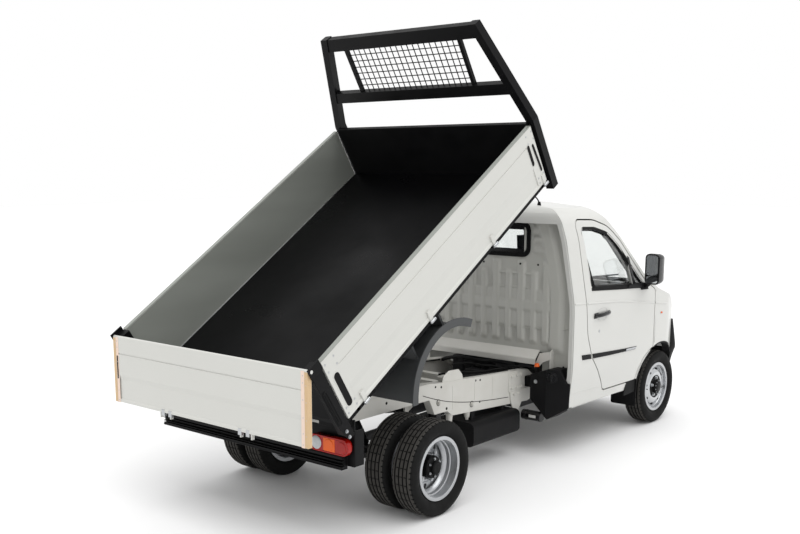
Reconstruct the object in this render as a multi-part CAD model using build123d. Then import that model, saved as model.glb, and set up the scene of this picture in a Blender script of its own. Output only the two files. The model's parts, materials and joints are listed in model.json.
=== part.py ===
from build123d import *
import math
import os

# Light cab-over dump truck with a raised tipping bed.
# Millimetres. +Z up, the cab faces -Y, +X is the truck's left side.
# The origin is on the floor, under the middle of the whole truck.

# Tilt of the bed and the tailgate's hinge axis on it, in the bed's own frame
BED_TILT = 32.4
TAILGATE_Y = 195
TAILGATE_Z = 440
EAR_BACK = 18             # the tailgate's hinge ear, behind and above its axis
EAR_TOP = 22

# Overall stance
WHEELBASE = 3000
FRONT_OVERHANG = 478      # front axle to bumper face
HINGE_REACH = 731         # rear axle to the bed's hinge axis
TRUCK_HALF_WIDTH = 820    # cab skin


def rear_reach():
    """Rear axle to the hinge ears of the tailgate, which reach back the furthest."""
    a = math.radians(BED_TILT)
    return HINGE_REACH + (TAILGATE_Y + EAR_BACK) * math.cos(a) + (TAILGATE_Z + EAR_TOP) * math.sin(a)


REAR_Y = (WHEELBASE + FRONT_OVERHANG - rear_reach()) / 2
FRONT_Y = REAR_Y - WHEELBASE

# Fits
SEAT = 0.3                # gap left where one piece rests on another
PIN_FIT = 0.06            # radial running clearance of a pin or shaft
SWING_GAP = 6             # free air between pieces that move past each other

# Wheels
TYRE_R = 298
TYRE_W = 170
RIM_R = 200               # outer edge of the rim flange
BEAD_R = 188
BEAD_W = 120
FLANGE_T = 8
FRONT_OUTER_X = 800       # outer face of the front tyre
REAR_OUTER_X = 842        # outer face of the outer rear tyre
TWIN_SPACING = 215
STUB_R = 20
REAR_STUB_R = 30
HUB_WALL = 26
RIM_HOLES = 8
RIM_HOLE_R = 15
RIM_HOLE_AT = 132         # holes in the disc, from the axle

# Steering
KINGPIN_X = 600
KINGPIN_R = 12
KNUCKLE_R = 28
KNUCKLE_H = 130

# Chassis rails
RAIL_X = 370
RAIL_W = 60
RAIL_WEB = 6
RAIL_TAIL_Y = REAR_Y + 800
RAIL_TAIL_BOTTOM = 580
RAIL_TAIL_TOP = 690

# Towing socket in the front crossmember
TOW_X = -250
TOW_Z = 450
TOW_R = 9
TOW_HOLE = 80             # square hole in the bumper, for the towing eye

# Cab
CAB_REAR_Y = FRONT_Y + 1433
CAB_TOP = 1838
CAB_SILL = 345
CAB_WALL = 42
GLASS_T = 6
GLASS_INSET = 14
DOOR_GAP = 10
DOOR_PIN_Y = FRONT_Y + 178
DOOR_PIN_X = TRUCK_HALF_WIDTH - 7     # inside the door's front edge
DOOR_PIN_R = 2.5
DOOR_BARREL_R = 4.5
DOOR_HINGE_Z = (700, 1020)
DOOR_HINGE_H = 44
REAR_WALL_Y = FRONT_Y + 1333
REAR_WALL_T = 30
DECK_Z = 770
DECK_T = 30
FOOTWELL_Z = 520
BULKHEAD_Y = -200         # back of the bulkhead, from the front axle
BULKHEAD_T = 24
ARCH_R = 385
ARCH_Y = FRONT_Y + 30
ARCH_LINER_T = 12
ARCH_INNER_X = 440

# Tipping bed, in its own frame: origin on the hinge axis, y along the floor, z up from it
HINGE_Y = REAR_Y + HINGE_REACH
HINGE_Z = 810
HINGE_PIN_R = 16
FLOOR_TOP = 70
FLOOR_T = 30
BED_FRONT = -2188         # front end of the side gates
BED_HALF_W = 846          # outside of the side gates
GATE_T = 28
GATE_TOP = FLOOR_TOP + 367
GATE_BOTTOM = FLOOR_TOP - 36
GATE_REAR = 120
SKIRT_Z = -20             # underside of the bed's edge members
TAILGATE_HALF_W = BED_HALF_W - 11
TAILGATE_H = 408
TAILGATE_T = 28
TAILGATE_PIN_R = 10
TAILGATE_RISE = 5         # top edge of the gate over its hinge axis
BEAM_X = 300              # long members under the floor
BEAM_W = 70
BEAM_H = 80
RACK_TOP = 1130
RACK_BEND = 450
RACK_POST_W = 56
RACK_POST_D = 62
RACK_BASE_X = BED_HALF_W - 20
RACK_TOP_X = BED_HALF_W - 224

# Lift cylinder, positions of its two ends
CYL_BASE_Y = REAR_Y - 600
CYL_BASE_Z = 430
CYL_EYE_BED_Y = -1400
CYL_EYE_BED_Z = 0
CYL_PIN_R = 14
EYE_PIN_R = 9
EYE_R = 34
EYE_BORE_R = 24

BED = Location((0, HINGE_Y, HINGE_Z), (-BED_TILT, 0, 0))


def box(x0, x1, y0, y1, z0, z1):
    centre = Pos((x0 + x1) / 2, (y0 + y1) / 2, (z0 + z1) / 2)
    return centre * Box(x1 - x0, y1 - y0, z1 - z0)


def slab_x(points, x0, x1):
    """Outline in (y, z), from x0 to x1."""
    return extrude(Plane.YZ.offset(x0) * make_face(Polyline(*points, close=True)), x1 - x0)


def slab_y(points, y0, y1):
    """Outline in (x, z), from y0 to y1."""
    return extrude(Plane.XZ.offset(-y1) * make_face(Polyline(*points, close=True)), y1 - y0)


def slab_z(points, z0, z1):
    """Outline in (x, y), from z0 to z1."""
    return extrude(Plane.XY.offset(z0) * make_face(Polyline(*points, close=True)), z1 - z0)


def rounded(corners, shift=0):
    """A face from (a, b, corner radius), moved along a by shift. A radius of 0 leaves a corner sharp."""
    face = make_face(Polyline(*[(a + shift, b) for a, b, _ in corners], close=True)).faces()[0]
    for a, b, r in corners:
        if r:
            corner = min(face.vertices(), key=lambda v: math.hypot(v.X - a - shift, v.Y - b))
            face = face.fillet_2d(r, [corner])
    return face


def rod_x(r, x0, x1, y, z):
    return Pos((x0 + x1) / 2, y, z) * Rot(0, 90, 0) * Cylinder(r, x1 - x0)


def rod_z(r, x, y, z0, z1):
    return Pos(x, y, (z0 + z1) / 2) * Cylinder(r, z1 - z0)


def tube_x(r_out, r_in, x0, x1, y, z):
    return rod_x(r_out, x0, x1, y, z) - rod_x(r_in, x0 - 1, x1 + 1, y, z)


def rod_y(r, y0, y1, x, z):
    return Pos(x, (y0 + y1) / 2, z) * Rot(90, 0, 0) * Cylinder(r, y1 - y0)


def mirrored(shape):
    return mirror(shape, about=Plane.YZ)


def pair(shape):
    return [shape, mirrored(shape)]


def solids_of(shape):
    if isinstance(shape, (list, tuple)):
        return [s for item in shape for s in solids_of(item)]
    return list(shape.solids())


def joined(first, *rest):
    result = first
    for piece in rest:
        result = result + piece
    return result


def save(name, shape):
    export_step(Compound(children=solids_of(shape)), f"parts/{name}.step")


# Wheels


def tyre(x_mid):
    half_bead, half = BEAD_W / 2, TYRE_W / 2
    tread = half - 18
    profile = [
        (BEAD_R, half_bead), (RIM_R + 2, half_bead), (RIM_R + 22, half - 5), ((RIM_R + TYRE_R) / 2, half),
        (TYRE_R - 20, half - 4), (TYRE_R - 4, tread), (TYRE_R, tread - 24),
    ]
    outline = [(r, x) for r, x in profile] + [(r, -x) for r, x in reversed(profile)]
    ring = revolve(make_face(Polyline(*outline, close=True)), Axis.Y)
    return Pos(x_mid, 0, 0) * Rot(0, 0, -90) * ring


def rim(x_mid, face, hub_x0, hub_x1, bore_r):
    """Barrel with two flanges, a disc at face (from the middle, outwards +X) and a bored hub."""
    half = BEAD_W / 2
    barrel = [
        (BEAD_R - SEAT, -half - FLANGE_T), (RIM_R, -half - FLANGE_T), (RIM_R, -half - SEAT),
        (BEAD_R - SEAT, -half - SEAT), (BEAD_R - SEAT, half + SEAT), (RIM_R, half + SEAT),
        (RIM_R, half + FLANGE_T), (BEAD_R - 10, half + FLANGE_T), (BEAD_R - 14, 0),
        (BEAD_R - 14, -half - FLANGE_T),
    ]
    ring = revolve(make_face(Polyline(*barrel, close=True)), Axis.Y)
    disc = Pos(0, face, 0) * Rot(90, 0, 0) * Cylinder(BEAD_R - 6, 10)
    for step in range(RIM_HOLES):
        turn = Rot(0, 360 / RIM_HOLES * step, 0)
        disc = disc - turn * Pos(RIM_HOLE_AT, face, 0) * Rot(90, 0, 0) * Cylinder(RIM_HOLE_R, 20)
    hub_mid, hub_len = (hub_x0 + hub_x1) / 2 - x_mid, hub_x1 - hub_x0
    hub = Pos(0, hub_mid, 0) * Rot(90, 0, 0) * Cylinder(bore_r + HUB_WALL, hub_len)
    bore = Pos(0, hub_mid, 0) * Rot(90, 0, 0) * Cylinder(bore_r + PIN_FIT, hub_len + 200)
    return Pos(x_mid, 0, 0) * Rot(0, 0, -90) * (ring + disc + hub - bore)


FRONT_MID_X = FRONT_OUTER_X - TYRE_W / 2
REAR_MID_X = REAR_OUTER_X - TYRE_W / 2
REAR_INNER_X = REAR_MID_X - TWIN_SPACING
FRONT_FACE = 30           # disc of the front wheel, outwards of the tyre's middle
TWIN_FACE = -52           # disc of the outer rear wheel, deep in its dish


def front_wheel():
    centre = Pos(0, FRONT_Y, TYRE_R)
    hub_x0 = KINGPIN_X + KNUCKLE_R + SWING_GAP
    disc_rim = rim(FRONT_MID_X, FRONT_FACE, hub_x0, FRONT_MID_X + FRONT_FACE + 14, STUB_R)
    return centre * tyre(FRONT_MID_X), centre * disc_rim


def rear_wheels():
    centre = Pos(0, REAR_Y, TYRE_R)
    outer_face = REAR_MID_X + TWIN_FACE
    inner_face = outer_face - 20 - REAR_INNER_X
    hub_x1 = outer_face + 60
    outer = rim(REAR_MID_X, TWIN_FACE, outer_face - 10, hub_x1, REAR_STUB_R)
    inner = rim(REAR_INNER_X, inner_face, REAR_INNER_X - 20, outer_face - 5, REAR_STUB_R)
    return [centre * tyre(REAR_MID_X), centre * tyre(REAR_INNER_X)], centre * (outer + inner)


# Front and rear running gear


def knuckle():
    z0, z1 = TYRE_R - KNUCKLE_H / 2, TYRE_R + KNUCKLE_H / 2
    sleeve = rod_z(KNUCKLE_R, KINGPIN_X, FRONT_Y, z0, z1)
    stub = rod_x(STUB_R, KINGPIN_X, FRONT_MID_X + FRONT_FACE + 10, FRONT_Y, TYRE_R)
    arm = box(KINGPIN_X - 12, KINGPIN_X + 12, FRONT_Y, FRONT_Y + 110, z0, z0 + 16)
    bore = rod_z(KINGPIN_R + PIN_FIT, KINGPIN_X, FRONT_Y, z0 - 1, z1 + 1)
    return sleeve + stub + arm - bore


RAIL_FRONT_BOTTOM = 400
RAIL_NOSE_TOP = 500


def front_axle():
    ear_gap = KNUCKLE_H / 2 + 1
    ear_t = 18
    low, high = TYRE_R - ear_gap, TYRE_R + ear_gap
    pin = rod_z(KINGPIN_R, KINGPIN_X, FRONT_Y, low - ear_t, high + ear_t)
    ears = []
    for z in (low - ear_t, high):
        ears.append(rod_z(26, KINGPIN_X, FRONT_Y, z, z + ear_t))
        ears.append(box(530, KINGPIN_X, FRONT_Y - 26, FRONT_Y + 26, z, z + ear_t))
    back = box(530, 552, FRONT_Y - 26, FRONT_Y + 26, low - ear_t, high + ear_t)
    arm = slab_z([(330, FRONT_Y - 60), (552, FRONT_Y - 26), (552, FRONT_Y + 26), (330, FRONT_Y + 60)],
                 high, high + ear_t)
    side = joined(pin, *ears, back, arm)
    beam = box(-390, 390, FRONT_Y - 60, FRONT_Y + 60, 330, RAIL_FRONT_BOTTOM - SEAT)
    return beam + side + mirrored(side)


AXLE_TUBE_R = 46
BANJO = ((40, 125), (95, 100), (150, AXLE_TUBE_R))    # half width and radius, outwards from the middle
NOSE_R = 60
NOSE_REACH = 200


def rear_axle():
    """Banjo housing with its nose forwards, the tubes and the stubs that the twin wheels turn on."""
    tube_end = REAR_INNER_X - 100
    side = [*BANJO, (tube_end, AXLE_TUBE_R), (tube_end, REAR_STUB_R), (REAR_MID_X, REAR_STUB_R)]
    side.append((REAR_MID_X, 0))
    outline = side + [(-x, r) for x, r in reversed(side)]
    turned = revolve(make_face(Polyline(*outline, close=True)), Axis.X)
    nose = Pos(0, -NOSE_REACH / 2, 0) * Rot(90, 0, 0) * Cylinder(NOSE_R, NOSE_REACH)
    return Pos(0, REAR_Y, TYRE_R) * (turned + nose)


SPRING_HALF = 560
SPRING_END_Z = 420
SPRING_MID_Z = TYRE_R + AXLE_TUBE_R + SEAT


def rear_springs():
    """Leaf packs on the axle, with the hangers that hold their eyes under the rails."""
    arc = [(-SPRING_HALF, SPRING_END_Z), (-300, SPRING_MID_Z + 22), (0, SPRING_MID_Z),
           (300, SPRING_MID_Z + 22), (SPRING_HALF, SPRING_END_Z)]
    lower = [(REAR_Y + y, z) for y, z in arc]
    upper = [(y, z + 34) for y, z in reversed(lower)]
    leaf = slab_x(lower + upper, RAIL_X - 28, RAIL_X + 28)
    hangers = [
        box(RAIL_X - 34, RAIL_X + 34, REAR_Y + y - 26, REAR_Y + y + 26, SPRING_END_Z - 10, top - SEAT)
        for y, top in ((-SPRING_HALF + 20, RAIL_STEP_Z), (SPRING_HALF - 20, RAIL_TAIL_BOTTOM))
    ]
    return pair(joined(leaf, *hangers))


# Chassis

RAIL_STEP_Z = 470
CROSSMEMBER_W = 60
CROSSMEMBERS = (
    # y from the rear axle, z low, z high
    (-WHEELBASE - 330, 410, 490),
    (-WHEELBASE + 1750, 450, 560),
    (-880, 470, 600),
    (-330, 600, 680),
    (330, 600, 680),
    (760, 590, 680),
)


RAIL_STATIONS = (
    # y from the rear axle, z of the bottom, z of the top
    (-WHEELBASE - 360, RAIL_FRONT_BOTTOM, RAIL_NOSE_TOP),
    (-WHEELBASE + 1220, RAIL_FRONT_BOTTOM, RAIL_NOSE_TOP),
    (-WHEELBASE + 1360, 365, 605),
    (-700, 428, 668),
    (-640, RAIL_STEP_Z, 672),
    (-500, RAIL_STEP_Z, 682),
    (-440, RAIL_TAIL_BOTTOM, RAIL_TAIL_TOP),
    (RAIL_TAIL_Y - REAR_Y, RAIL_TAIL_BOTTOM, RAIL_TAIL_TOP),
)


def rail_outline():
    """Side view of one rail: low under the cab, deep behind it, then up over the axle."""
    low = [(REAR_Y + y, bottom) for y, bottom, _ in RAIL_STATIONS]
    high = [(REAR_Y + y, top) for y, _, top in reversed(RAIL_STATIONS)]
    return low + high


def rail_bottom(y):
    """Height of the rail's underside at y."""
    for (y0, z0, _), (y1, z1, _) in zip(RAIL_STATIONS, RAIL_STATIONS[1:]):
        if y0 <= y - REAR_Y <= y1:
            return z0 + (z1 - z0) * (y - REAR_Y - y0) / (y1 - y0)
    return RAIL_TAIL_BOTTOM


def frame_rails():
    """Two channels open inwards, tied by crossmembers."""
    outline = rail_outline()
    face = make_face(Polyline(*outline, close=True))
    solid = extrude(Plane.YZ.offset(RAIL_X - RAIL_W / 2) * face, RAIL_W)
    inner = Plane.YZ.offset(RAIL_X - RAIL_W / 2 - 1) * offset(face, -RAIL_WEB)
    hollow = extrude(inner, RAIL_W - RAIL_WEB + 1)
    rail = solid - hollow
    reach = RAIL_X + RAIL_W / 2 - RAIL_WEB / 2
    ties = [
        box(-reach, reach, REAR_Y + y - CROSSMEMBER_W / 2, REAR_Y + y + CROSSMEMBER_W / 2, z0, z1)
        for y, z0, z1 in CROSSMEMBERS
    ]
    socket = Pos(TOW_X, REAR_Y + CROSSMEMBERS[0][0], TOW_Z) * Rot(90, 0, 0) * Cylinder(TOW_R, 200)
    return joined(rail + mirrored(rail), *ties) - socket


def tipper_frame():
    """Sub-frame on the rails: hinge brackets with pins, cylinder cradle and bed rests."""
    top = RAIL_TAIL_TOP + SEAT
    pieces = []
    for side in (-1, 1):
        x0, x1 = sorted((side * (RAIL_X - 30), side * (RAIL_X + 30)))
        pieces.append(box(x0, x1, REAR_Y - 330, HINGE_Y + 40, top, top + 40))
        p0, p1 = sorted((side * (RAIL_X - 2), side * (RAIL_X + 18)))
        ear = slab_x([(HINGE_Y - 60, top + 30), (HINGE_Y + 60, top + 30), (HINGE_Y + 28, HINGE_Z + 26),
                      (HINGE_Y - 28, HINGE_Z + 26)], p0, p1)
        pieces.append(ear)
        pin0, pin1 = sorted((side * (BEAM_X - BEAM_W / 2 - 12), side * (RAIL_X + 10)))
        pieces.append(rod_x(HINGE_PIN_R, pin0, pin1, HINGE_Y, HINGE_Z))
    pieces.append(box(-RAIL_X - 30, RAIL_X + 30, REAR_Y + 690, REAR_Y + 760, top, top + 30))
    pieces.append(box(-RAIL_X - 30, RAIL_X + 30, REAR_Y - 330, REAR_Y - 280, top, top + 30))
    rest_top = HINGE_Z + FLOOR_TOP - FLOOR_T - BEAM_H - SWING_GAP
    for x in (-BEAM_X, BEAM_X):
        pieces.append(box(x - 30, x + 30, REAR_Y - 325, REAR_Y - 285, top + 29, rest_top))
    return joined(*pieces)


CRADLE_X = 75


def cylinder_cradle():
    """Cross beam between the rails, with two ears and the pin that the barrel swings on."""
    z = CYL_BASE_Z
    inner = RAIL_X + RAIL_W / 2 - RAIL_WEB - SEAT
    y0, y1 = CYL_BASE_Y - 140, CYL_BASE_Y - 100
    back = box(-inner, inner, y0, y1, z + 60, z + 150)
    front = CYL_BASE_Y + 30
    ear = [(front, z - 26), (y0, z + 60), (y0, z + 100), (y1, z + 100), (front, z + 26)]
    ears = [slab_x(ear, x, x + 14) for x in (-CRADLE_X - 14, CRADLE_X)]
    pin = rod_x(CYL_PIN_R, -CRADLE_X - 14, CRADLE_X + 14, CYL_BASE_Y, z)
    return joined(back, *ears, pin)


UNDERRUN_Y = REAR_Y + 780
UNDERRUN_HALF = 776
LAMP_PANEL_X = (500, 826)


def underrun_beam():
    beam = box(-UNDERRUN_HALF, UNDERRUN_HALF, UNDERRUN_Y, UNDERRUN_Y + 50, 470, 548)
    groove = box(-UNDERRUN_HALF - 1, UNDERRUN_HALF + 1, UNDERRUN_Y + 30, UNDERRUN_Y + 51, 488, 530)
    x0, x1 = LAMP_PANEL_X
    panel = box(x0, x1, UNDERRUN_Y - 8, UNDERRUN_Y, 485, 690)
    drop = box(RAIL_X - 30, RAIL_X + 30, UNDERRUN_Y - 10, UNDERRUN_Y, 500, RAIL_TAIL_BOTTOM - SEAT)
    plate_z = RAIL_TAIL_BOTTOM - 12
    hanger = box(RAIL_X - 30, RAIL_X + 30, UNDERRUN_Y - 120, UNDERRUN_Y, plate_z, RAIL_TAIL_BOTTOM - SEAT)
    side = joined(panel, drop, hanger)
    return joined(beam - groove, side, mirrored(side))


LAMP_X = (524, 812)
LAMP_Z = (553, 641)
LAMP_D = 46


def tail_lamps():
    lamp = box(*LAMP_X, UNDERRUN_Y + SEAT, UNDERRUN_Y + LAMP_D, *LAMP_Z)
    return pair(fillet(lamp.edges().filter_by(Axis.Y), 40))


GEARBOX_END_Y = FRONT_Y + 1480


def engine():
    """Engine and gearbox as one plain block low between the rails."""
    block = box(-270, 270, FRONT_Y + 700, FRONT_Y + 1280, 270, 650)
    gearbox = box(-120, 120, FRONT_Y + 1280, GEARBOX_END_Y, 280, 500)
    inner = RAIL_X + RAIL_W / 2 - RAIL_WEB - SEAT
    mounts = pair(box(269, inner, FRONT_Y + 900, FRONT_Y + 960, 430, 480))
    return joined(block, gearbox, *mounts)


SHAFT_END_GAP = 1.1       # leaves the tilted ends clear of the gearbox and the axle's nose
SHAFT_START_Z = 330


def driveshaft():
    """From the gearbox to the nose of the rear axle, under the cradle."""
    start = Vector(0, GEARBOX_END_Y + SHAFT_END_GAP, SHAFT_START_Z)
    end = Vector(0, REAR_Y - NOSE_REACH - SHAFT_END_GAP, TYRE_R)
    run = end - start
    shaft = Plane(origin=start, z_dir=run) * Pos(0, 0, run.length / 2) * Cylinder(32, run.length)
    return shaft


TANK_Y = (FRONT_Y + 1580, FRONT_Y + 2160)


def fuel_tank():
    tank = fillet(box(-480, -130, *TANK_Y, 180, 352).edges().filter_by(Axis.Y), 40)
    straps = [
        slab_x([(y, 350), (y + 40, 350), (y + 40, rail_bottom(y + 40) - SEAT), (y, rail_bottom(y) - SEAT)],
               -RAIL_X - RAIL_W / 2, -RAIL_X + RAIL_W / 2) for y in (TANK_Y[0] + 80, TANK_Y[1] - 120)
    ]
    return joined(tank, *straps)


CAB_SIDE = (
    # side view: y from the front axle, z, corner radius
    (1433, CAB_SILL + 35, 20), (1433, 1730, 150), (1400, 1800, 100), (1310, CAB_TOP, 200),
    (1050, CAB_TOP - 4, 400), (900, 1780, 400), (785, 1695, 500), (445, 1368, 0), (299, 1228, 450),
    (120, 1130, 500), (-150, 1040, 330), (-350, 870, 280), (-450, 640, 0), (-478, 560, 120), (-478, 400, 60),
    (-430, CAB_SILL, 50),
)
CAB_FRONT = (
    # front view: half width, z, corner radius; the sides lean in above the waist and the roof is crowned
    (TRUCK_HALF_WIDTH - 35, CAB_SILL - 5, 0), (TRUCK_HALF_WIDTH, 640, 1200), (TRUCK_HALF_WIDTH, 1120, 800),
    (TRUCK_HALF_WIDTH - 82, 1577, 500), (TRUCK_HALF_WIDTH - 130, 1720, 150),
    (TRUCK_HALF_WIDTH - 210, 1795, 150),
    (300, CAB_TOP - 6, 1200), (0, CAB_TOP + 1, 0),
)
CAB_PLAN = (
    # top view: half width, y from the front axle, corner radius
    (0, -480, 0), (TRUCK_HALF_WIDTH - 390, -462, 600), (TRUCK_HALF_WIDTH - 180, -405, 280),
    (TRUCK_HALF_WIDTH - 60, -290, 240), (TRUCK_HALF_WIDTH, -90, 350),
    (TRUCK_HALF_WIDTH, 1434, 0), (0, 1434, 0),
)


def with_mirror(half):
    """The right half of an outline added to its left half, the points on the middle line once."""
    return [*half, *[(-x, b, r) for x, b, r in reversed(half) if x]]


def rectangle(a0, a1, b0, b1):
    return make_face(Polyline((a0, b0), (a1, b0), (a1, b1), (a0, b1), close=True))


def front_face(inset, opened=False):
    """The cab seen from the front, moved inwards by inset, and open below if asked."""
    face = rounded(with_mirror(CAB_FRONT))
    if inset:
        face = offset(face, -inset, kind=Kind.INTERSECTION)
    if opened:
        foot = CAB_FRONT[0][0] - inset
        face = face + rectangle(-foot, foot, CAB_SILL - 200, CAB_SILL + inset + 40)
    return face


def cab_form(inset, opened=False):
    """The cab's outer form moved inwards by inset. Opened, it also runs out below and behind."""
    side = rounded(CAB_SIDE, FRONT_Y)
    plan = rounded(with_mirror([(x, FRONT_Y + y, r) for x, y, r in CAB_PLAN]))
    if inset:
        side, plan = [offset(face, -inset, kind=Kind.INTERSECTION) for face in (side, plan)]
    if opened:
        side = side + rectangle(FRONT_Y + 700, CAB_REAR_Y + 200, CAB_SILL - 200, CAB_TOP - 148)
        side = side + rectangle(FRONT_Y - FRONT_OVERHANG + inset, FRONT_Y + 800, CAB_SILL - 200, 560)
        wide = TRUCK_HALF_WIDTH - inset
        plan = plan + rectangle(-wide, wide, FRONT_Y + 700, CAB_REAR_Y + 200)
    reach = 3000
    form = extrude(Plane.YZ * side, reach / 2, both=True)
    form = form & extrude(Plane.XZ.offset(-FRONT_Y) * front_face(inset, opened), reach, both=True)
    return form & extrude(Plane.XY * plan, reach, both=True)


DOOR_OUTLINE = (
    # y from the front axle, z, corner radius
    (1262, 1712, 60), (1000, 1700, 300), (815, 1648, 260), (660, 1530, 500), (530, 1398, 600),
    (330, 1200, 500), (176, 1122, 30), (176, 660, 20), (240, 640, 0), (330, 590, 120), (400, 500, 120),
    (424, 430, 14),
    (940, 436, 40), (990, 520, 200), (1060, 610, 0), (1160, 720, 160), (1235, 900, 300), (1262, 1150, 600),
)
DOOR_WINDOW = (
    (1205, 1655, 40), (1010, 1645, 260), (840, 1602, 220), (690, 1490, 400), (548, 1348, 500),
    (420, 1225, 300), (345, 1172, 12), (1160, 1224, 30),
)
WINDOW_BAR = ((498, 1160, 0), (522, 1160, 0), (580, 1420, 0), (556, 1420, 0))


def door_prism(outline, grow):
    face = rounded(outline, FRONT_Y)
    if grow:
        face = offset(face, grow, kind=Kind.INTERSECTION)
    return extrude(Plane.YZ.offset(500) * face, 500)


def behind_side_wall(inset):
    """Everything further in than the side wall, so that a door takes nothing of the pillars."""
    return extrude(Plane.XZ.offset(-FRONT_Y) * front_face(inset, opened=True), 3000, both=True)


def door_hinges():
    """Swan-neck leaves on the cab, each with its barrel and pin inside the left door's front edge."""
    pieces = []
    for z in DOOR_HINGE_Z:
        z1 = z + DOOR_HINGE_H
        pieces.append(rod_z(DOOR_BARREL_R, DOOR_PIN_X, DOOR_PIN_Y, z, z1))
        pieces.append(rod_z(DOOR_PIN_R, DOOR_PIN_X, DOOR_PIN_Y, z - 14, z1 + 14))
        pieces.append(box(DOOR_PIN_X - 29, DOOR_PIN_X, DOOR_PIN_Y - 3, DOOR_PIN_Y + 3, z, z1))
        pieces.append(box(DOOR_PIN_X - 29, DOOR_PIN_X - 23, DOOR_PIN_Y - 28, DOOR_PIN_Y + 3, z, z1))
    return joined(*pieces)


def door_hinge_pockets():
    """Room in the door for the leaves as it swings, and the holes for the pins."""
    cuts = []
    for z in DOOR_HINGE_Z:
        z0, z1 = z - 2, z + DOOR_HINGE_H + 2
        cuts.append(rod_z(DOOR_BARREL_R + 0.7, DOOR_PIN_X, DOOR_PIN_Y, z0, z1))
        cuts.append(box(DOOR_PIN_X - CAB_WALL, DOOR_PIN_X, DOOR_PIN_Y - 10, DOOR_PIN_Y + 6, z0, z1))
        cuts.append(rod_z(DOOR_PIN_R + PIN_FIT, DOOR_PIN_X, DOOR_PIN_Y, z0 - 14, z1 + 14))
    return joined(*cuts)


WINDSCREEN = (
    (0, 1165), (TRUCK_HALF_WIDTH - 115, 1165), (TRUCK_HALF_WIDTH - 170, 1530), (TRUCK_HALF_WIDTH - 220, 1645),
    (0, 1655),
)
GRILLE_PANEL = ((0, 610), (560, 610), (560, 800), (420, 800), (420, 980), (0, 980))
HEADLAMP = ((440, 820), (660, 820), (690, 990), (440, 960))
BUMPER_TOP = 600


def front_prism(half, grow, y_back):
    outline = list(half)
    left = [(-x, z) for x, z in reversed(outline)]
    ring = outline + [p for p in left if p[0] != 0] if outline[0][0] == 0 else outline
    face = make_face(Polyline(*ring, close=True))
    if grow:
        face = offset(face, grow, kind=Kind.INTERSECTION)
    return extrude(Plane.XZ.offset(-y_back) * face, 1500)


REAR_WINDOW_HALF_W = 340
REAR_WINDOW_Z = (1450, 1675)
BUMPER_BACK_Y = FRONT_Y - 200


def cab():
    """The whole cab, split at its real panels."""
    skin = cab_form(0) - cab_form(CAB_WALL, opened=True)
    glass = cab_form(GLASS_INSET) - cab_form(GLASS_INSET + GLASS_T)
    screen_back_y = FRONT_Y + 900
    nose_back_y = FRONT_Y + 60
    arch_low = box(ARCH_INNER_X, 900, ARCH_Y - ARCH_R, ARCH_Y + ARCH_R, 0, TYRE_R)
    arches = rod_x(ARCH_R, ARCH_INNER_X, 900, ARCH_Y, TYRE_R) + arch_low

    door = (skin & door_prism(DOOR_OUTLINE, 0)) - (door_prism(DOOR_WINDOW, 0) - door_prism(WINDOW_BAR, 0))
    door = door - behind_side_wall(CAB_WALL) - door_hinge_pockets()
    panes = glass & (door_prism(DOOR_WINDOW, -SEAT) - door_prism(WINDOW_BAR, SEAT))
    panes = panes - behind_side_wall(CAB_WALL)
    opening = door_prism(DOOR_OUTLINE, DOOR_GAP) - behind_side_wall(CAB_WALL + SWING_GAP)

    screen = front_prism(WINDSCREEN, 0, screen_back_y)
    grille = front_prism(GRILLE_PANEL, 0, nose_back_y)
    lamp_hole = front_prism(HEADLAMP, 0, nose_back_y)
    bumper_hole = box(-900, 900, FRONT_Y - 600, BUMPER_BACK_Y, 200, BUMPER_TOP)
    bumper_zone = box(-900, 900, FRONT_Y - 600, BUMPER_BACK_Y - SEAT, 200, BUMPER_TOP - SEAT)

    reach = TOW_HOLE / 2
    tow_hole = box(TOW_X - reach, TOW_X + reach, FRONT_Y - 600, BUMPER_BACK_Y, TOW_Z - reach, TOW_Z + reach)

    shell = joined(skin, *cab_frame())
    for cut in (arches, opening, lamp_hole):
        shell = shell - cut - mirrored(cut)
    shell = shell - screen - grille - bumper_hole
    hinges = door_hinges()
    shell = joined(shell, *cab_floor(), hinges, mirrored(hinges))
    lamp = skin & front_prism(HEADLAMP, -SEAT, nose_back_y)
    return {
        "cab_shell": shell,
        "cab_rear_wall": rear_wall(),
        "front_panel": skin & front_prism(GRILLE_PANEL, -SEAT, nose_back_y),
        "front_bumper": (skin & bumper_zone) - arches - mirrored(arches) - tow_hole,
        "headlamps": pair(lamp),
        "cab_glass": [
            glass & front_prism(WINDSCREEN, -SEAT, screen_back_y),
            rear_window(SEAT, REAR_WALL_Y + 10, REAR_WALL_Y + 10 + GLASS_T),
        ],
        "door_panel_left": door,
        "door_panel_right": mirrored(door),
        "door_glass_left": panes,
        "door_glass_right": [mirrored(s) for s in solids_of(panes)],
    }


SILL_X = 700


def cab_frame():
    """What ties the floor to the skin: sills, rear corners and the arch liners."""
    wide = TRUCK_HALF_WIDTH - CAB_WALL + 4
    sill = box(SILL_X, 762, FRONT_Y + 440, REAR_WALL_Y - SEAT, CAB_SILL + 10, CAB_SILL + 70)
    upright = box(SILL_X, SILL_X + 24, FRONT_Y + 440, REAR_WALL_Y - SEAT, CAB_SILL + 10, DECK_Z)
    corner = box(SILL_X, wide, FRONT_Y + 1276, REAR_WALL_Y - SEAT, DECK_Z - DECK_T, DECK_Z)
    liner = rod_x(ARCH_R + ARCH_LINER_T, ARCH_INNER_X - ARCH_LINER_T, wide, ARCH_Y, TYRE_R)
    liner = liner & box(0, 1000, ARCH_Y - ARCH_R - 20, ARCH_Y + ARCH_R + 20, FOOTWELL_Z, 800)
    low_clear = cab_form(CAB_WALL - 4, opened=True)
    side = joined(sill, upright, corner) + (liner & low_clear)
    return [side, mirrored(side)]


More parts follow.
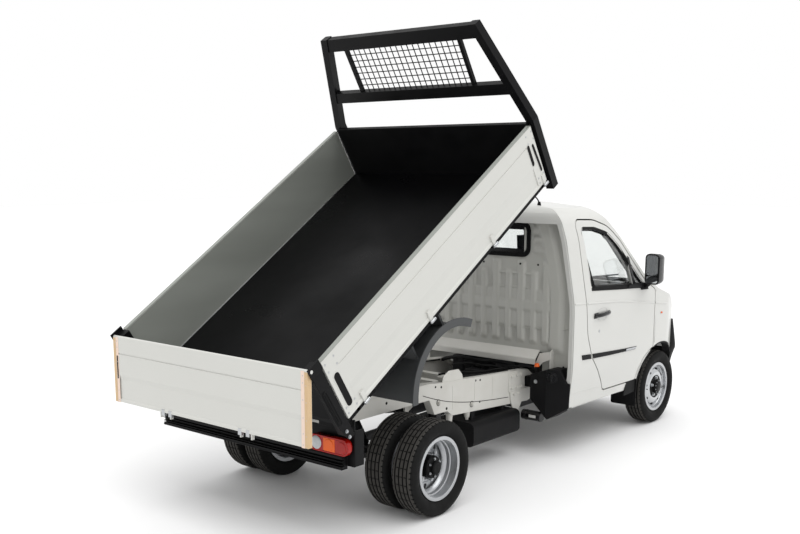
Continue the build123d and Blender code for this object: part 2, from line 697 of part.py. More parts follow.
def cab_floor():
    """Foot well, engine deck, the riser between them, the bulkhead and the feet on the rails."""
    half = SILL_X + 10
    bulkhead = FRONT_Y + BULKHEAD_Y
    pieces = [
        box(-half, half, FRONT_Y + 690, REAR_WALL_Y - SEAT, DECK_Z - DECK_T, DECK_Z),
        box(-half, half, FRONT_Y + 666, FRONT_Y + 690, FOOTWELL_Z, DECK_Z),
        box(-half, half, FRONT_Y + 440, FRONT_Y + 690, FOOTWELL_Z, FOOTWELL_Z + 24),
        box(-ARCH_INNER_X, ARCH_INNER_X, bulkhead, FRONT_Y + 690, FOOTWELL_Z, FOOTWELL_Z + 24),
        box(-ARCH_INNER_X, ARCH_INNER_X, bulkhead - BULKHEAD_T, bulkhead, FOOTWELL_Z, 720),
        box(-620, 620, bulkhead - BULKHEAD_T, bulkhead, 640, 900),
    ]
    for x in (-RAIL_X, RAIL_X):
        for y in (FRONT_Y + 560, FRONT_Y - 150):
            pieces.append(box(x - 24, x + 24, y - 24, y + 24, RAIL_NOSE_TOP + SEAT, FOOTWELL_Z + 2))
    arch = rod_x(ARCH_R, ARCH_INNER_X, 900, ARCH_Y, TYRE_R)
    return [joined(*pieces) - arch - mirrored(arch)]


def rear_window(inset, y0, y1):
    x, (z0, z1) = REAR_WINDOW_HALF_W - inset, REAR_WINDOW_Z
    return box(-x, x, y0, y1, z0 + inset, z1 - inset)


WALL_RIBS = (
    # x, half width, z low, z high of the upright swages below the window
    (-560, 34, 790, 1400), (-440, 34, 790, 1330), (-330, 30, 790, 1400), (-220, 30, 790, 1330),
    (-110, 30, 790, 1400), (0, 30, 790, 1330), (110, 30, 790, 1400), (220, 30, 790, 1330),
    (330, 30, 790, 1400), (440, 34, 790, 1330), (560, 34, 790, 1400),
)
WALL_STEPS = (
    # z low, z high, how far the band stands out
    (900, 1010, 16), (1010, 1100, 30), (1100, 1180, 16),
)
WALL_BULGE = 24           # stays ahead of the roof's rear edge
WALL_SIDE = (
    (690, 790), (700, 1130), (655, 1500), (600, 1640), (500, 1720), (440, 1720), (560, 1600), (620, 1130),
    (630, 790),
)


def wall_swages(y):
    """Pressed forms of the back panel: upright ribs, stepped bands across and a bulge up each side."""
    pieces = [box(x - w, x + w, y - 1, y + 22, z0, z1) for x, w, z0, z1 in WALL_RIBS]
    pieces += [box(-600, 600, y - 1, y + out, z0, z1) for z0, z1, out in WALL_STEPS]
    side = slab_y(WALL_SIDE, y - 1, y + WALL_BULGE)
    return [*pieces, side, mirrored(side)]


def rear_wall():
    """Recessed back panel with its window, and the sloping shelf lip below it."""
    section = front_face(CAB_WALL + SEAT, opened=True)
    y1 = REAR_WALL_Y + REAR_WALL_T
    panel = extrude(Plane.XZ.offset(-y1) * section, REAR_WALL_T)
    panel = panel & cab_form(CAB_WALL + SEAT, opened=True)
    panel = panel & box(-TRUCK_HALF_WIDTH, TRUCK_HALF_WIDTH, REAR_WALL_Y, y1, DECK_Z - DECK_T, CAB_TOP)
    panel = panel - rear_window(0, REAR_WALL_Y - 50, REAR_WALL_Y + 100)
    panel = joined(panel, *wall_swages(y1))
    lip = [(y1 - 4, DECK_Z - 4), (y1 + 62, 704), (y1 + 62, 680), (y1 - 4, DECK_Z - DECK_T + 2)]
    shelf = slab_x(lip, -500, 450)
    return panel + shelf


def filler_box():
    """Angular housing for the filler behind the right rear corner of the cab."""
    y0, y1 = REAR_WALL_Y + SEAT, CAB_REAR_Y + 62
    side = -TRUCK_HALF_WIDTH
    plan = [(-505, y1), (side + 180, y1), (side + 15, CAB_REAR_Y + 12), (side + 15, CAB_REAR_Y + 4),
            (side + 90, CAB_REAR_Y + 4), (side + 90, y0), (-505, y0)]
    body = slab_z(plan, 280, 655)
    face = slab_y([(-505, 600), (side + 170, 652), (side + 90, 655), (side + 35, 560), (side + 14, 560),
                   (side + 20, 380), (side + 170, 282), (-505, 420)], y0 - 1, y1 + 1)
    arm = box(-507, -RAIL_X - RAIL_W / 2 - SEAT, y0 + 20, y0 + 70, 480, 560)
    return (body & face) + arm


def seats():
    pieces = []
    for x in (-370, 370):
        base = box(x - 230, x + 230, FRONT_Y + 760, FRONT_Y + 1220, DECK_Z + SEAT, DECK_Z + 130)
        back = slab_x([(FRONT_Y + 1130, DECK_Z + 120), (FRONT_Y + 1220, DECK_Z + 120), (FRONT_Y + 1310, 1400),
                       (FRONT_Y + 1220, 1400)], x - 220, x + 220)
        rest = slab_x([(FRONT_Y + 1225, 1390), (FRONT_Y + 1300, 1390), (FRONT_Y + 1318, 1590),
                       (FRONT_Y + 1240, 1590)], x - 120, x + 120)
        pieces.append(joined(base, back, rest))
    return pieces


DASH_FRONT = BULKHEAD_Y + SEAT
DASH_BACK = (380, 780)
DASH = ((120, 720), (DASH_FRONT, 720), (DASH_FRONT, 1010), (-60, 1060), (330, 1050), (400, 960), DASH_BACK)


def dashboard():
    outline = [(FRONT_Y + y, z) for y, z in DASH]
    panel = slab_x(outline, -640, 640) & cab_form(CAB_WALL + SEAT)
    clear = rod_x(ARCH_R + ARCH_LINER_T + SEAT, ARCH_INNER_X - 20, 900, ARCH_Y, TYRE_R)
    return panel - clear - mirrored(clear)


WHEEL_X = 370
STEER_R = 185
STEER_TILT = 50
COLUMN_L = 330


def steering_wheel():
    tilt = Location((WHEEL_X, FRONT_Y + 610, 1090), (-STEER_TILT, 0, 0))
    ring = Torus(STEER_R, 14)
    spokes = Box(2 * STEER_R, 34, 12)
    hub = Cylinder(52, 34)
    column = Pos(0, 0, -COLUMN_L / 2) * Cylinder(24, COLUMN_L)
    wheel = tilt * joined(ring, spokes, hub, column)
    dash = make_face(Polyline(*[(FRONT_Y + y, z) for y, z in DASH], close=True))
    ahead = box(-900, 900, FRONT_Y - 900, FRONT_Y + DASH_BACK[0], 600, 1100)
    return wheel - extrude(Plane.YZ.offset(-640) * offset(dash, SEAT, kind=Kind.INTERSECTION), 1280) - ahead


def mirror_unit():
    """Housing on its arm, from the corner of the door window."""
    skin = TRUCK_HALF_WIDTH
    shell = box(skin + 58, skin + 180, FRONT_Y + 300, FRONT_Y + 500, 1195, 1435)
    shell = fillet(shell.edges().filter_by(Axis.Y), 34)
    y0, y1 = FRONT_Y + 320, FRONT_Y + 380
    foot = box(skin + SEAT, skin + 66, y0, y1, 1080, 1106)
    post = box(skin + 50, skin + 66, y0, y1, 1080, 1210)
    return joined(shell, foot, post)


# Bed, built in its own frame


FLOOR_TIES = (BED_FRONT + 8, BED_FRONT * 0.74, BED_FRONT * 0.526, -300, 80)
REAR_POST_X = BED_HALF_W - 68    # inner face of a corner post


def bed_floor():
    front = BED_FRONT - 4
    rear = TAILGATE_Y - TAILGATE_T / 2 - SWING_GAP
    half = BED_HALF_W - GATE_T - SWING_GAP
    plate = box(-half, half, front, rear, FLOOR_TOP - FLOOR_T, FLOOR_TOP)
    under = FLOOR_TOP - FLOOR_T
    beams = pair(box(BEAM_X - BEAM_W / 2, BEAM_X + BEAM_W / 2, front, 62, under - BEAM_H, under + 1))
    ties = [box(-half, half, y, y + 50, under - 50, under + 1) for y in FLOOR_TIES]
    skirts = [box(x, x + 30, front, rear, SKIRT_Z, under + 1) for x in (-half, half - 30)]
    lug_blank = [rod_x(38, x - BEAM_W / 2, x + BEAM_W / 2, 0, 0) for x in (-BEAM_X, BEAM_X)]
    eye_y, eye_z = CYL_EYE_BED_Y, CYL_EYE_BED_Z
    low = eye_z - 22
    ear = [(eye_y - 60, under + 1), (eye_y - 24, low), (eye_y + 24, low), (eye_y + 60, under + 1)]
    eye_ears = pair(slab_x(ear, 40, 52))
    eye_pin = rod_x(EYE_PIN_R, -52, 52, eye_y, eye_z)
    hinges = [piece for y in GATE_HINGE_Y for piece in gate_hinge_on_bed(y, half)]
    left = joined(*hinges)
    bed = joined(plate, *beams, *ties, *skirts, *lug_blank, *eye_ears, eye_pin, left, mirrored(left))
    corner = box(REAR_POST_X - SEAT, half + 1, GATE_REAR - SEAT, rear + 1, SKIRT_Z - 1, FLOOR_TOP + 1)
    return bed - rod_x(HINGE_PIN_R + PIN_FIT, -half, half, 0, 0) - corner - mirrored(corner)


GATE_HINGE_Y = tuple(BED_FRONT * share for share in (0.985, 0.677, 0.3364, 0.0197))
GATE_HINGE_X = BED_HALF_W + 10
GATE_HINGE_Z = GATE_BOTTOM - 10
GATE_HINGE_R = 8
GATE_PIN_R = 5
KNUCKLE_HALF = 15         # gate knuckle, along the axis
LEAF_T = 8                # bed ears on both sides of it


def gate_hinge_on_bed(y, edge):
    """Two ears out from the bed's edge and the pin through them."""
    reach = KNUCKLE_HALF + LEAF_T
    pieces = [rod_y(GATE_PIN_R, y - reach, y + reach, GATE_HINGE_X, GATE_HINGE_Z)]
    for y0 in (y - KNUCKLE_HALF - 1 - LEAF_T, y + KNUCKLE_HALF + 1):
        pieces.append(rod_y(GATE_HINGE_R, y0, y0 + LEAF_T, GATE_HINGE_X, GATE_HINGE_Z))
        low, high = GATE_HINGE_Z - GATE_HINGE_R, GATE_HINGE_Z + 2
        pieces.append(box(edge - 1, GATE_HINGE_X, y0, y0 + LEAF_T, low, high))
    return pieces


BOARD_RECESS = 6
END_PLATE = 100           # flat plate at each end of a side board
GATE_LEDGE = (116, 160)   # over the foot of the board
TAILGATE_LEDGE = (144, 172)
BOARD_GROOVE = (300, 308)


def board_face(ledge):
    """Depth in from the outer face and height over the foot: sunk field, sloping ledge, thin groove."""
    low, high = ledge
    g0, g1 = BOARD_GROOVE
    field = [(0, 0), (0, 14), (BOARD_RECESS, 22), (BOARD_RECESS, low), (0, high)]
    return field + [(0, g0), (4, g0 + 2), (4, g1 - 2), (0, g1)]


def side_gate():
    """Left side gate with the hinge knuckles along its foot."""
    x1 = BED_HALF_W
    face = [(x1 - depth, GATE_BOTTOM + z) for depth, z in board_face(GATE_LEDGE)]
    outline = [(x1 - GATE_T, GATE_BOTTOM), *face, (x1, GATE_TOP), (x1 - GATE_T, GATE_TOP)]
    gate = slab_y(outline, BED_FRONT, GATE_REAR - SWING_GAP)
    rear = GATE_REAR - SWING_GAP
    for y0 in (BED_FRONT, rear - END_PLATE):
        gate = gate + box(x1 - GATE_T, x1, y0, y0 + END_PLATE, GATE_BOTTOM, GATE_TOP)
    for y in GATE_HINGE_Y:
        y0, y1 = y - KNUCKLE_HALF, y + KNUCKLE_HALF
        strap = box(x1 - BOARD_RECESS - 1, x1 + 6, y0, y1, GATE_HINGE_Z, GATE_HINGE_Z + 70)
        knuckle_barrel = rod_y(GATE_HINGE_R, y0, y1, GATE_HINGE_X, GATE_HINGE_Z)
        bore = rod_y(GATE_PIN_R + PIN_FIT, y0 - 1, y1 + 1, GATE_HINGE_X, GATE_HINGE_Z)
        gate = gate + strap + knuckle_barrel - bore
    return gate


def headboard():
    half = BED_HALF_W - GATE_T - SWING_GAP
    front = BED_FRONT - 4
    return box(-half, half, front - 30, front - SEAT, FLOOR_TOP - 80, GATE_TOP + 10)


RACK_BEAMS = ((640, 716), (1036, 1126))
WIRE = 5
MESH_PITCH = 46


def steps(low, high, pitch):
    """Evenly spaced stations between two edges, near the given pitch."""
    count = round((high - low) / pitch)
    return [low + (high - low) * (i + 1) / count for i in range(count - 1)]


def rack():
    """Posts beside the headboard that lean in above it, with two beams and a framed mesh."""
    y1 = BED_FRONT - SWING_GAP - 28 - SEAT
    y0 = y1 - RACK_POST_D
    half = RACK_POST_W / 2
    foot, head = RACK_BASE_X, RACK_TOP_X
    outline = [(foot - half, -60), (foot + half, -60), (foot + half, RACK_BEND), (head + half, RACK_TOP),
               (head - half, RACK_TOP), (foot - half, RACK_BEND)]
    post = slab_y(outline, y0, y1)
    lean = (RACK_TOP_X - RACK_BASE_X) / (RACK_TOP - RACK_BEND)
    beams = []
    for z0, z1 in RACK_BEAMS:
        reach = RACK_BASE_X + lean * ((z0 + z1) / 2 - RACK_BEND)
        beams.append(box(-reach, reach, y0 + 6, y1 - 6, z0, z1))
    bars = [box(x, x + 24, y0 + 18, y1 - 18, 710, 1040) for x in (-490, 466)]
    mid = (y0 + y1) / 2
    thin = WIRE / 2
    uprights = [box(x - thin, x + thin, mid - WIRE, mid, 710, 1040) for x in steps(-466, 466, MESH_PITCH)]
    rows = [box(-470, 470, mid, mid + WIRE, z - WIRE / 2, z + WIRE / 2) for z in steps(716, 1036, MESH_PITCH)]
    return joined(post, mirrored(post), *beams, *bars, *uprights, *rows)


def rear_posts():
    """Corner posts behind the side gates, with the ears that hold the tailgate's pins."""
    x1 = BED_HALF_W - 8
    y0 = GATE_REAR
    y1 = TAILGATE_Y - TAILGATE_T / 2 - SWING_GAP
    post = box(REAR_POST_X, x1, y0, y1, -44, GATE_TOP)
    ear = box(TAILGATE_HALF_W + 5, TAILGATE_HALF_W + 15, y0, TAILGATE_Y + EAR_BACK, TAILGATE_Z - 40,
              TAILGATE_Z + EAR_TOP)
    bridge = box(x1 - 10, TAILGATE_HALF_W + 15, y0, y1, TAILGATE_Z - 40, GATE_TOP)
    side = post + ear + bridge - rod_x(TAILGATE_PIN_R + PIN_FIT, 700, 900, TAILGATE_Y, TAILGATE_Z)
    return pair(side)


FENDER_R = 385
FENDER_T = 8
FENDER_X = (470, REAR_OUTER_X - 10)
BRACKET_DY = 150          # hangers of the guard, either side of the wheel's middle
WHEEL_IN_BED = (REAR_Y - HINGE_Y, TYRE_R - HINGE_Z)


def bed_fenders():
    """Arched guards hung under the bed, round the twin wheels once the bed is down."""
    y, z = WHEEL_IN_BED
    x0, x1 = FENDER_X
    ring = tube_x(FENDER_R + FENDER_T, FENDER_R, x0, x1, y, z)
    lip = tube_x(FENDER_R + 50, FENDER_R, x1 - 8, x1, y, z)
    rays = [math.radians(a) for a in (142, 90, 28)]
    wedge = [(y, z)] + [(y + 700 * math.cos(a), z + 700 * math.sin(a)) for a in rays]
    arc = (ring + lip) & slab_x(wedge, 0, 1000)
    foot = z + math.sqrt(FENDER_R ** 2 - BRACKET_DY ** 2)
    brackets = [
        box(x0 + 40, x1 - 60, y + dy - 8, y + dy + 8, foot, FLOOR_TOP - FLOOR_T - SEAT)
        for dy in (-BRACKET_DY, BRACKET_DY)
    ]
    return pair(joined(arc, *brackets))


def tailgate():
    """Hung from its top pins, drawn here in the closed position."""
    half = TAILGATE_HALF_W
    y0, y1 = TAILGATE_Y - TAILGATE_T / 2, TAILGATE_Y + TAILGATE_T / 2
    z1 = TAILGATE_Z + TAILGATE_RISE
    face = [(y1 - depth, z1 - TAILGATE_H + z) for depth, z in board_face(TAILGATE_LEDGE)]
    panel = slab_x([(y0, z1 - TAILGATE_H), *face, (y1, z1), (y0, z1)], -half, half)
    pins = rod_x(TAILGATE_PIN_R, -half - 15, half + 15, TAILGATE_Y, TAILGATE_Z)
    foot = z1 - TAILGATE_H
    lugs = [box(x, x + 8, y0 + 4, y1 - 4, foot - 34, foot + 1) for x in (-400, -310, 302, 392)]
    return joined(panel, pins, *lugs)


# Lift cylinder, along the line from its base pin to the rod's eye

TUBES = (
    # name, outer radius, bore radius, start and end from the base pin with the bed down
    ("cylinder_barrel", 62, 51 + SEAT, 20, 326),
    ("cylinder_stage_1", 51, 41 + SEAT, 45, 334),
    ("cylinder_stage_2", 41, 31 + SEAT, 50, 342),
    ("cylinder_stage_3", 31, 0, 55, 360),
)


def bed_point(tilt):
    """Where the rod's eye is, in the truck's frame, with the bed at this tilt."""
    a = math.radians(tilt)
    y = HINGE_Y + CYL_EYE_BED_Y * math.cos(a) + CYL_EYE_BED_Z * math.sin(a)
    z = HINGE_Z - CYL_EYE_BED_Y * math.sin(a) + CYL_EYE_BED_Z * math.cos(a)
    return Vector(0, y, z)


def lift_cylinder():
    base = Vector(0, CYL_BASE_Y, CYL_BASE_Z)
    raised = bed_point(BED_TILT) - base
    lowered = bed_point(0) - base
    step = (raised.length - lowered.length) / 3
    line = Plane(origin=base, x_dir=Vector(1, 0, 0), z_dir=raised)
    parts = {}
    for index, (name, r_out, bore, start, end) in enumerate(TUBES):
        shift = index * step
        tube = Pos(0, 0, shift + (start + end) / 2) * Cylinder(r_out, end - start)
        if bore and index:
            tube = tube - Pos(0, 0, shift + (start + end) / 2) * Cylinder(bore, end - start + 2)
        elif bore:
            tube = tube - Pos(0, 0, (start + 20 + end) / 2) * Cylinder(bore, end - start - 20 + 0.01)
        if index == 0:
            foot = Rot(0, 90, 0) * Cylinder(34, 2 * CRADLE_X - 12)
            tube = tube + foot - Rot(0, 90, 0) * Cylinder(CYL_PIN_R + PIN_FIT, 400)
        if index == len(TUBES) - 1:
            eye = Pos(0, 0, raised.length) * Rot(0, 90, 0)
            tube = tube + eye * Cylinder(EYE_R, 60) - eye * Cylinder(EYE_BORE_R, 80)
        parts[name] = line * tube
    return parts


def build():
    os.makedirs("parts", exist_ok=True)
    save("frame_rails", frame_rails())
    save("tipper_frame", [tipper_frame(), cylinder_cradle()])
    save("underrun_beam", underrun_beam())
    save("tail_lamps", tail_lamps())
    save("engine", engine())
    save("driveshaft", driveshaft())
    save("fuel_tank", fuel_tank())
    save("filler_box", filler_box())
    save("front_axle", front_axle())
    save("rear_axle", rear_axle())
    save("rear_springs", rear_springs())

    for name, shape in cab().items():
        save(name, shape)
    save("seats", seats())
    save("dashboard", dashboard())
    save("steering_wheel", steering_wheel())

    front_tyre, front_rim = front_wheel()
    rear_tyres, rear_rims = rear_wheels()
    per_side = {
        "mirror": mirror_unit(), "knuckle": knuckle(), "front_tyre": front_tyre, "front_rim": front_rim,
        "rear_tyres": rear_tyres, "rear_rims": rear_rims,
    }
    for name, shape in per_side.items():
        save(f"{name}_left", shape)
        save(f"{name}_right", [mirrored(s) for s in solids_of(shape)])

    save("bed_floor", BED * bed_floor())
    save("headboard", BED * headboard())
    save("rack", BED * rack())
    save("rear_posts", [BED * s for s in rear_posts()])
    save("bed_fenders", [BED * s for s in bed_fenders()])
    gate = side_gate()
    save("side_gate_left", BED * gate)
    save("side_gate_right", BED * mirrored(gate))
    hang = Location((0, TAILGATE_Y, TAILGATE_Z), (BED_TILT, 0, 0)) * Location((0, -TAILGATE_Y, -TAILGATE_Z))
    save("tailgate", BED * hang * tailgate())
    for name, shape in lift_cylinder().items():
        save(name, shape)


build()
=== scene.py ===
import json
import math

import bmesh
import bpy
from mathutils import Matrix, Vector
from mathutils.bvhtree import BVHTree

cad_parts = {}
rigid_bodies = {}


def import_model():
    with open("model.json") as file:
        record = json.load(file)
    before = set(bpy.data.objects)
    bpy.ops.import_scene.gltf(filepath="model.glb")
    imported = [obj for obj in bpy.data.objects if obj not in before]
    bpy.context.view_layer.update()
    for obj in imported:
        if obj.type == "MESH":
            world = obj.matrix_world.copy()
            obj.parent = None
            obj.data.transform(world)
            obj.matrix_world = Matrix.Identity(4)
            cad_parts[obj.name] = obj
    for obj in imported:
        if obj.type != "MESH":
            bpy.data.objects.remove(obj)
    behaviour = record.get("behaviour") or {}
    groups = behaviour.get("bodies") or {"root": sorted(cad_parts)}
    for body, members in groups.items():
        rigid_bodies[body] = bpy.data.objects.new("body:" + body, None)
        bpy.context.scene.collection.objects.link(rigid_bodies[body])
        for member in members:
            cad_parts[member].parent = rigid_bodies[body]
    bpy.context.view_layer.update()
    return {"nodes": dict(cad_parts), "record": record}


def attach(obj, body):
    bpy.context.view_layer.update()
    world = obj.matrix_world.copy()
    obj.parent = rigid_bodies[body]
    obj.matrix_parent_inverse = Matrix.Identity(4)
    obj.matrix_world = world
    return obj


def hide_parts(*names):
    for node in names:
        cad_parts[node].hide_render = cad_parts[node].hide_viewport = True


# Light dump truck with its bed raised. Sizes are millimetres unless a comment says otherwise.

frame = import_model()

MM = 0.001
TILT = math.radians(32.4)
WHEELBASE = 3000
HINGE_REACH = 731
REAR_Y = (WHEELBASE + 478 - (HINGE_REACH + 213 * math.cos(TILT) + 462 * math.sin(TILT))) / 2
FRONT_Y = REAR_Y - WHEELBASE
HINGE = Vector((0, REAR_Y + HINGE_REACH, 810))
ON_TRUCK = Matrix.Identity(4)
ON_BED = Matrix.Translation(HINGE) @ Matrix.Rotation(-TILT, 4, "X")
PIN = ON_BED @ Vector((0, 195, 440))
ON_TAILGATE = Matrix.Translation(PIN)          # the tailgate hangs plumb from its pins


# Materials


def linear(code):
    """An sRGB hex colour as linear values."""
    parts = [int(code[i:i + 2], 16) / 255 for i in (1, 3, 5)]
    return [c / 12.92 if c <= 0.04045 else ((c + 0.055) / 1.055) ** 2.4 for c in parts] + [1.0]


def node(tree, kind, inputs=None, **settings):
    """Adds one node, sets its properties, and sets or links its inputs."""
    made = tree.nodes.new(kind)
    for key, value in settings.items():
        setattr(made, key, value)
    for key, value in (inputs or {}).items():
        if isinstance(value, bpy.types.NodeSocket):
            tree.links.new(value, made.inputs[key])
        else:
            made.inputs[key].default_value = value
    return made


def finish(name, colour, second, rough, metal=0.0, ior=1.5, patch=120, grain=0.8, bump=0.02,
           rough_swing=0.05, coat=0.0, coat_rough=0.05, transmission=0.0, sheen=0.0, stretch=(1, 1, 1)):
    """A surface with slow patches of a second colour, a fine grain in the bump and an uneven gloss."""
    made = bpy.data.materials.new(name)
    made.use_nodes = True
    tree = made.node_tree
    shader = tree.nodes["Principled BSDF"]
    where = node(tree, "ShaderNodeTexCoord").outputs["Object"]
    stretched = node(tree, "ShaderNodeMapping", {"Vector": where, "Scale": stretch}).outputs["Vector"]
    slow = node(tree, "ShaderNodeTexNoise", {"Vector": stretched, "Scale": 1000 / patch, "Detail": 5.0})
    fine = node(tree, "ShaderNodeTexNoise", {"Vector": stretched, "Scale": 1000 / grain, "Detail": 2.0})
    tint = node(tree, "ShaderNodeMix", {0: slow.outputs["Fac"], 6: linear(colour), 7: linear(second)},
                data_type="RGBA")
    gloss = node(tree, "ShaderNodeMapRange", {"Value": slow.outputs["Fac"], "From Min": 0.3, "From Max": 0.7,
                                              "To Min": max(0.02, rough - rough_swing),
                                              "To Max": min(1.0, rough + rough_swing)})
    relief = node(tree, "ShaderNodeBump", {"Height": fine.outputs["Fac"], "Strength": 0.6,
                                           "Distance": bump * MM})
    tree.links.new(tint.outputs[2], shader.inputs["Base Color"])
    tree.links.new(gloss.outputs["Result"], shader.inputs["Roughness"])
    tree.links.new(relief.outputs["Normal"], shader.inputs["Normal"])
    fixed = {"Metallic": metal, "Coat Weight": coat, "Coat Roughness": coat_rough,
             "Transmission Weight": transmission, "Sheen Weight": sheen}
    if not metal:
        fixed["IOR"] = ior
    for key, value in fixed.items():
        shader.inputs[key].default_value = value
    return made


# Baked two-coat enamel on pressed steel: a clean off-white with a clear, slightly rippled gloss.
CAB_ENAMEL = finish("cab_enamel", "#c6c6c2", "#c3c3bf", 0.30, ior=1.4, patch=600, grain=30, bump=0.02,
                    rough_swing=0.02, coat=0.4, coat_rough=0.06)
# The cab's enamel painted a darker grey on the cab's back panel as painted shade from the raised bed, and
# less glossy.
BACK_PANEL_PAINTED_SHADE = finish("back_panel_painted_shade", "#b0b0aa", "#a9a9a3", 0.36, ior=1.4, patch=300, grain=20, bump=0.03,
                     coat=0.2, coat_rough=0.1)
# Powder coat on the folded gates: the same white with a softer, finely pebbled gloss.
GATE_POWDER = finish("gate_powder_coat", "#c4c4bf", "#c0c0bb", 0.38, patch=500, grain=3, bump=0.04,
                     rough_swing=0.03, coat=0.2, coat_rough=0.2)
# Powder coat on the welded frame: white, a little duller, with a hint of dust.
FRAME_POWDER = finish("frame_powder_coat", "#cbcac5", "#c0beb7", 0.45, grain=4, bump=0.08, rough_swing=0.1)
# Black electrodip coat on steel: deep satin black.
BLACK_DIP = finish("black_dip_coat", "#0a0a0b", "#101011", 0.40, ior=1.2, grain=5, bump=0.06,
                   rough_swing=0.08)
# Black dip coat on the rolled bed floor: satin, with broad soft changes of gloss from the rolling.
FLOOR_DIP = finish("bed_floor_dip_coat", "#080809", "#050506", 0.38, ior=1.17, patch=420, grain=6, bump=0.04,
                   rough_swing=0.14)
# Moulded polypropylene with an etched grain: charcoal, matt.
GRAINED_PP = finish("grained_polypropylene", "#0e0e0f", "#151516", 0.55, ior=1.22, grain=1.6, bump=0.12)
# The wheel guards' polypropylene: grained too, but greyed all over by dust and by painted light standing for
# the light on their broad tops.
GUARD_DUST_AND_PAINTED_LIGHT = finish("wheel_guard_dust_and_painted_light", "#37393a", "#404243", 0.6, grain=1.6, bump=0.12)
# Smooth moulded ABS: black with a soft shine.
SMOOTH_ABS = finish("smooth_abs", "#08080a", "#0c0c0e", 0.26, ior=1.35, grain=6, bump=0.01, coat=0.05)
# Rubber tread and sidewall: near black, dusty on its high spots.
TYRE_RUBBER = finish("tyre_rubber", "#0c0c0d", "#141413", 0.72, ior=1.25, patch=70, grain=1.2, bump=0.12,
                     rough_swing=0.1)
# The tread's ribs: the same rubber in a lighter grey on their outer faces than in the grooves.
TREAD_RUBBER = finish("tread_rubber", "#32312f", "#454340", 0.85, ior=1.28, patch=26, grain=1.2, bump=0.15)
# Extruded rubber seal: dull black. The same black also fills slots and holes that are not cut, as painted
# shade.
SEAL_RUBBER = finish("seal_rubber", "#060607", "#0c0c0c", 0.62, ior=1.25, grain=2, bump=0.03)
# Silver wheel lacquer over steel: bright grey with a fine metallic sparkle.
WHEEL_SILVER = finish("wheel_silver_lacquer", "#b9bbbd", "#a8aaad", 0.30, metal=0.75, grain=1.5, bump=0.02,
                      coat=0.4)
# Zinc plate on bolts, pins and hinges: pale grey metal with a faint spangle.
ZINC = finish("zinc_plate", "#c4c6c8", "#a9abad", 0.32, metal=1.0, patch=14, grain=2, bump=0.02)
# Ground and hard-chromed rod: mirror grey.
CHROME = finish("hard_chrome", "#d4d6d8", "#c9cbcd", 0.08, metal=1.0, patch=60, grain=2, bump=0.003,
                rough_swing=0.02)
# Dark castings and the engine: rough grey-black iron.
CASTING = finish("dark_casting", "#1b1b1c", "#28282a", 0.60, metal=0.4, patch=35, grain=2.5, bump=0.3)
# Tempered glass, faintly green-grey, clear enough to see the seats through.
CLEAR_GLASS = finish("tempered_glass", "#f2f4f3", "#f2f4f3", 0.03, ior=1.45, grain=40, bump=0.0,
                     rough_swing=0.01, transmission=1.0)
# Woven seat cloth: charcoal, soft.
SEAT_CLOTH = finish("woven_seat_cloth", "#232427", "#2f3034", 0.85, patch=30, grain=1.4, bump=0.5, sheen=0.3)
# Polycarbonate lenses: red and amber ones coloured through, and a clear one over the headlamps.
RED_LENS = finish("red_lens", "#a30e04", "#8c0a03", 0.2, ior=1.3, grain=6, bump=0.3, coat=0.25)
AMBER_LENS = finish("amber_lens", "#e2600a", "#d05204", 0.2, ior=1.3, grain=6, bump=0.3, coat=0.25)
CLEAR_LENS = finish("clear_lens", "#e6e8ea", "#d4d7da", 0.08, grain=6, bump=0.3, coat=1.0, transmission=0.5)
# Brushed aluminium sheet inside the gates: dull grey with a fine grain along the board and soft smears.
BRUSHED_SHEET = finish("brushed_liner_sheet", "#7d807a", "#979a94", 0.45, metal=0.2, patch=260, grain=1.5,
                       bump=0.03, rough_swing=0.12, stretch=(1, 0.15, 1))
# Polished steel cap in the front wheel.
POLISHED_CAP = finish("polished_wheel_cap", "#c9cbcd", "#b5b7b9", 0.16, metal=1.0, patch=40, grain=2,
                      bump=0.01)
# Frosted reversing lens: grey-white, ribbed inside.
FROSTED_LENS = finish("frosted_lens", "#b9bcbd", "#8f9294", 0.2, patch=9, grain=5, bump=0.4, coat=1.0)
# Painted fold at the tailgate's ends with a peach edging film.
PEACH_STRIP = finish("peach_edge_film", "#e0cbbd", "#d6bfaf", 0.5, patch=30, grain=2, bump=0.06)
# Raw plywood edging strips on the tailgate's ends: tan, grain along the strip.
TAN_STRIP = finish("tan_edge_strip", "#c9ad86", "#bda079", 0.55, patch=30, grain=2, bump=0.1,
                   stretch=(4, 4, 0.5))
# Moulded nylon, orange all through: a soft shine, as on the filler neck's cap.
ORANGE_NYLON = finish("orange_nylon", "#e2641a", "#d45a14", 0.4, grain=3, bump=0.03)
# Silvered glass of the door mirrors: a clean reflection.
MIRROR_GLASS = finish("mirror_glass", "#dfe3e6", "#dfe3e6", 0.02, metal=1.0, grain=40, bump=0.0,
                      rough_swing=0.0)


# Shapes


def block(bm, x0, x1, y0, y1, z0, z1):
    """A box between its sides."""
    place = Matrix.Translation(((x0 + x1) / 2, (y0 + y1) / 2, (z0 + z1) / 2))
    return bmesh.ops.create_cube(bm, size=1, matrix=place @ Matrix.Diagonal((x1 - x0, y1 - y0, z1 - z0, 1)))


def rod(bm, radius, start, end, sides=24, end_radius=None):
    """A round bar between two points."""
    start, end = Vector(start), Vector(end)
    run = end - start
    place = Matrix.Translation((start + end) / 2) @ run.to_track_quat("Z", "Y").to_matrix().to_4x4()
    return bmesh.ops.create_cone(bm, cap_ends=True, segments=sides, radius1=radius,
                                 radius2=radius if end_radius is None else end_radius, depth=run.length,
                                 matrix=place)


def corners_of(made):
    """The vertices among what an operator made."""
    return [v for v in made["geom"] if isinstance(v, bmesh.types.BMVert)]


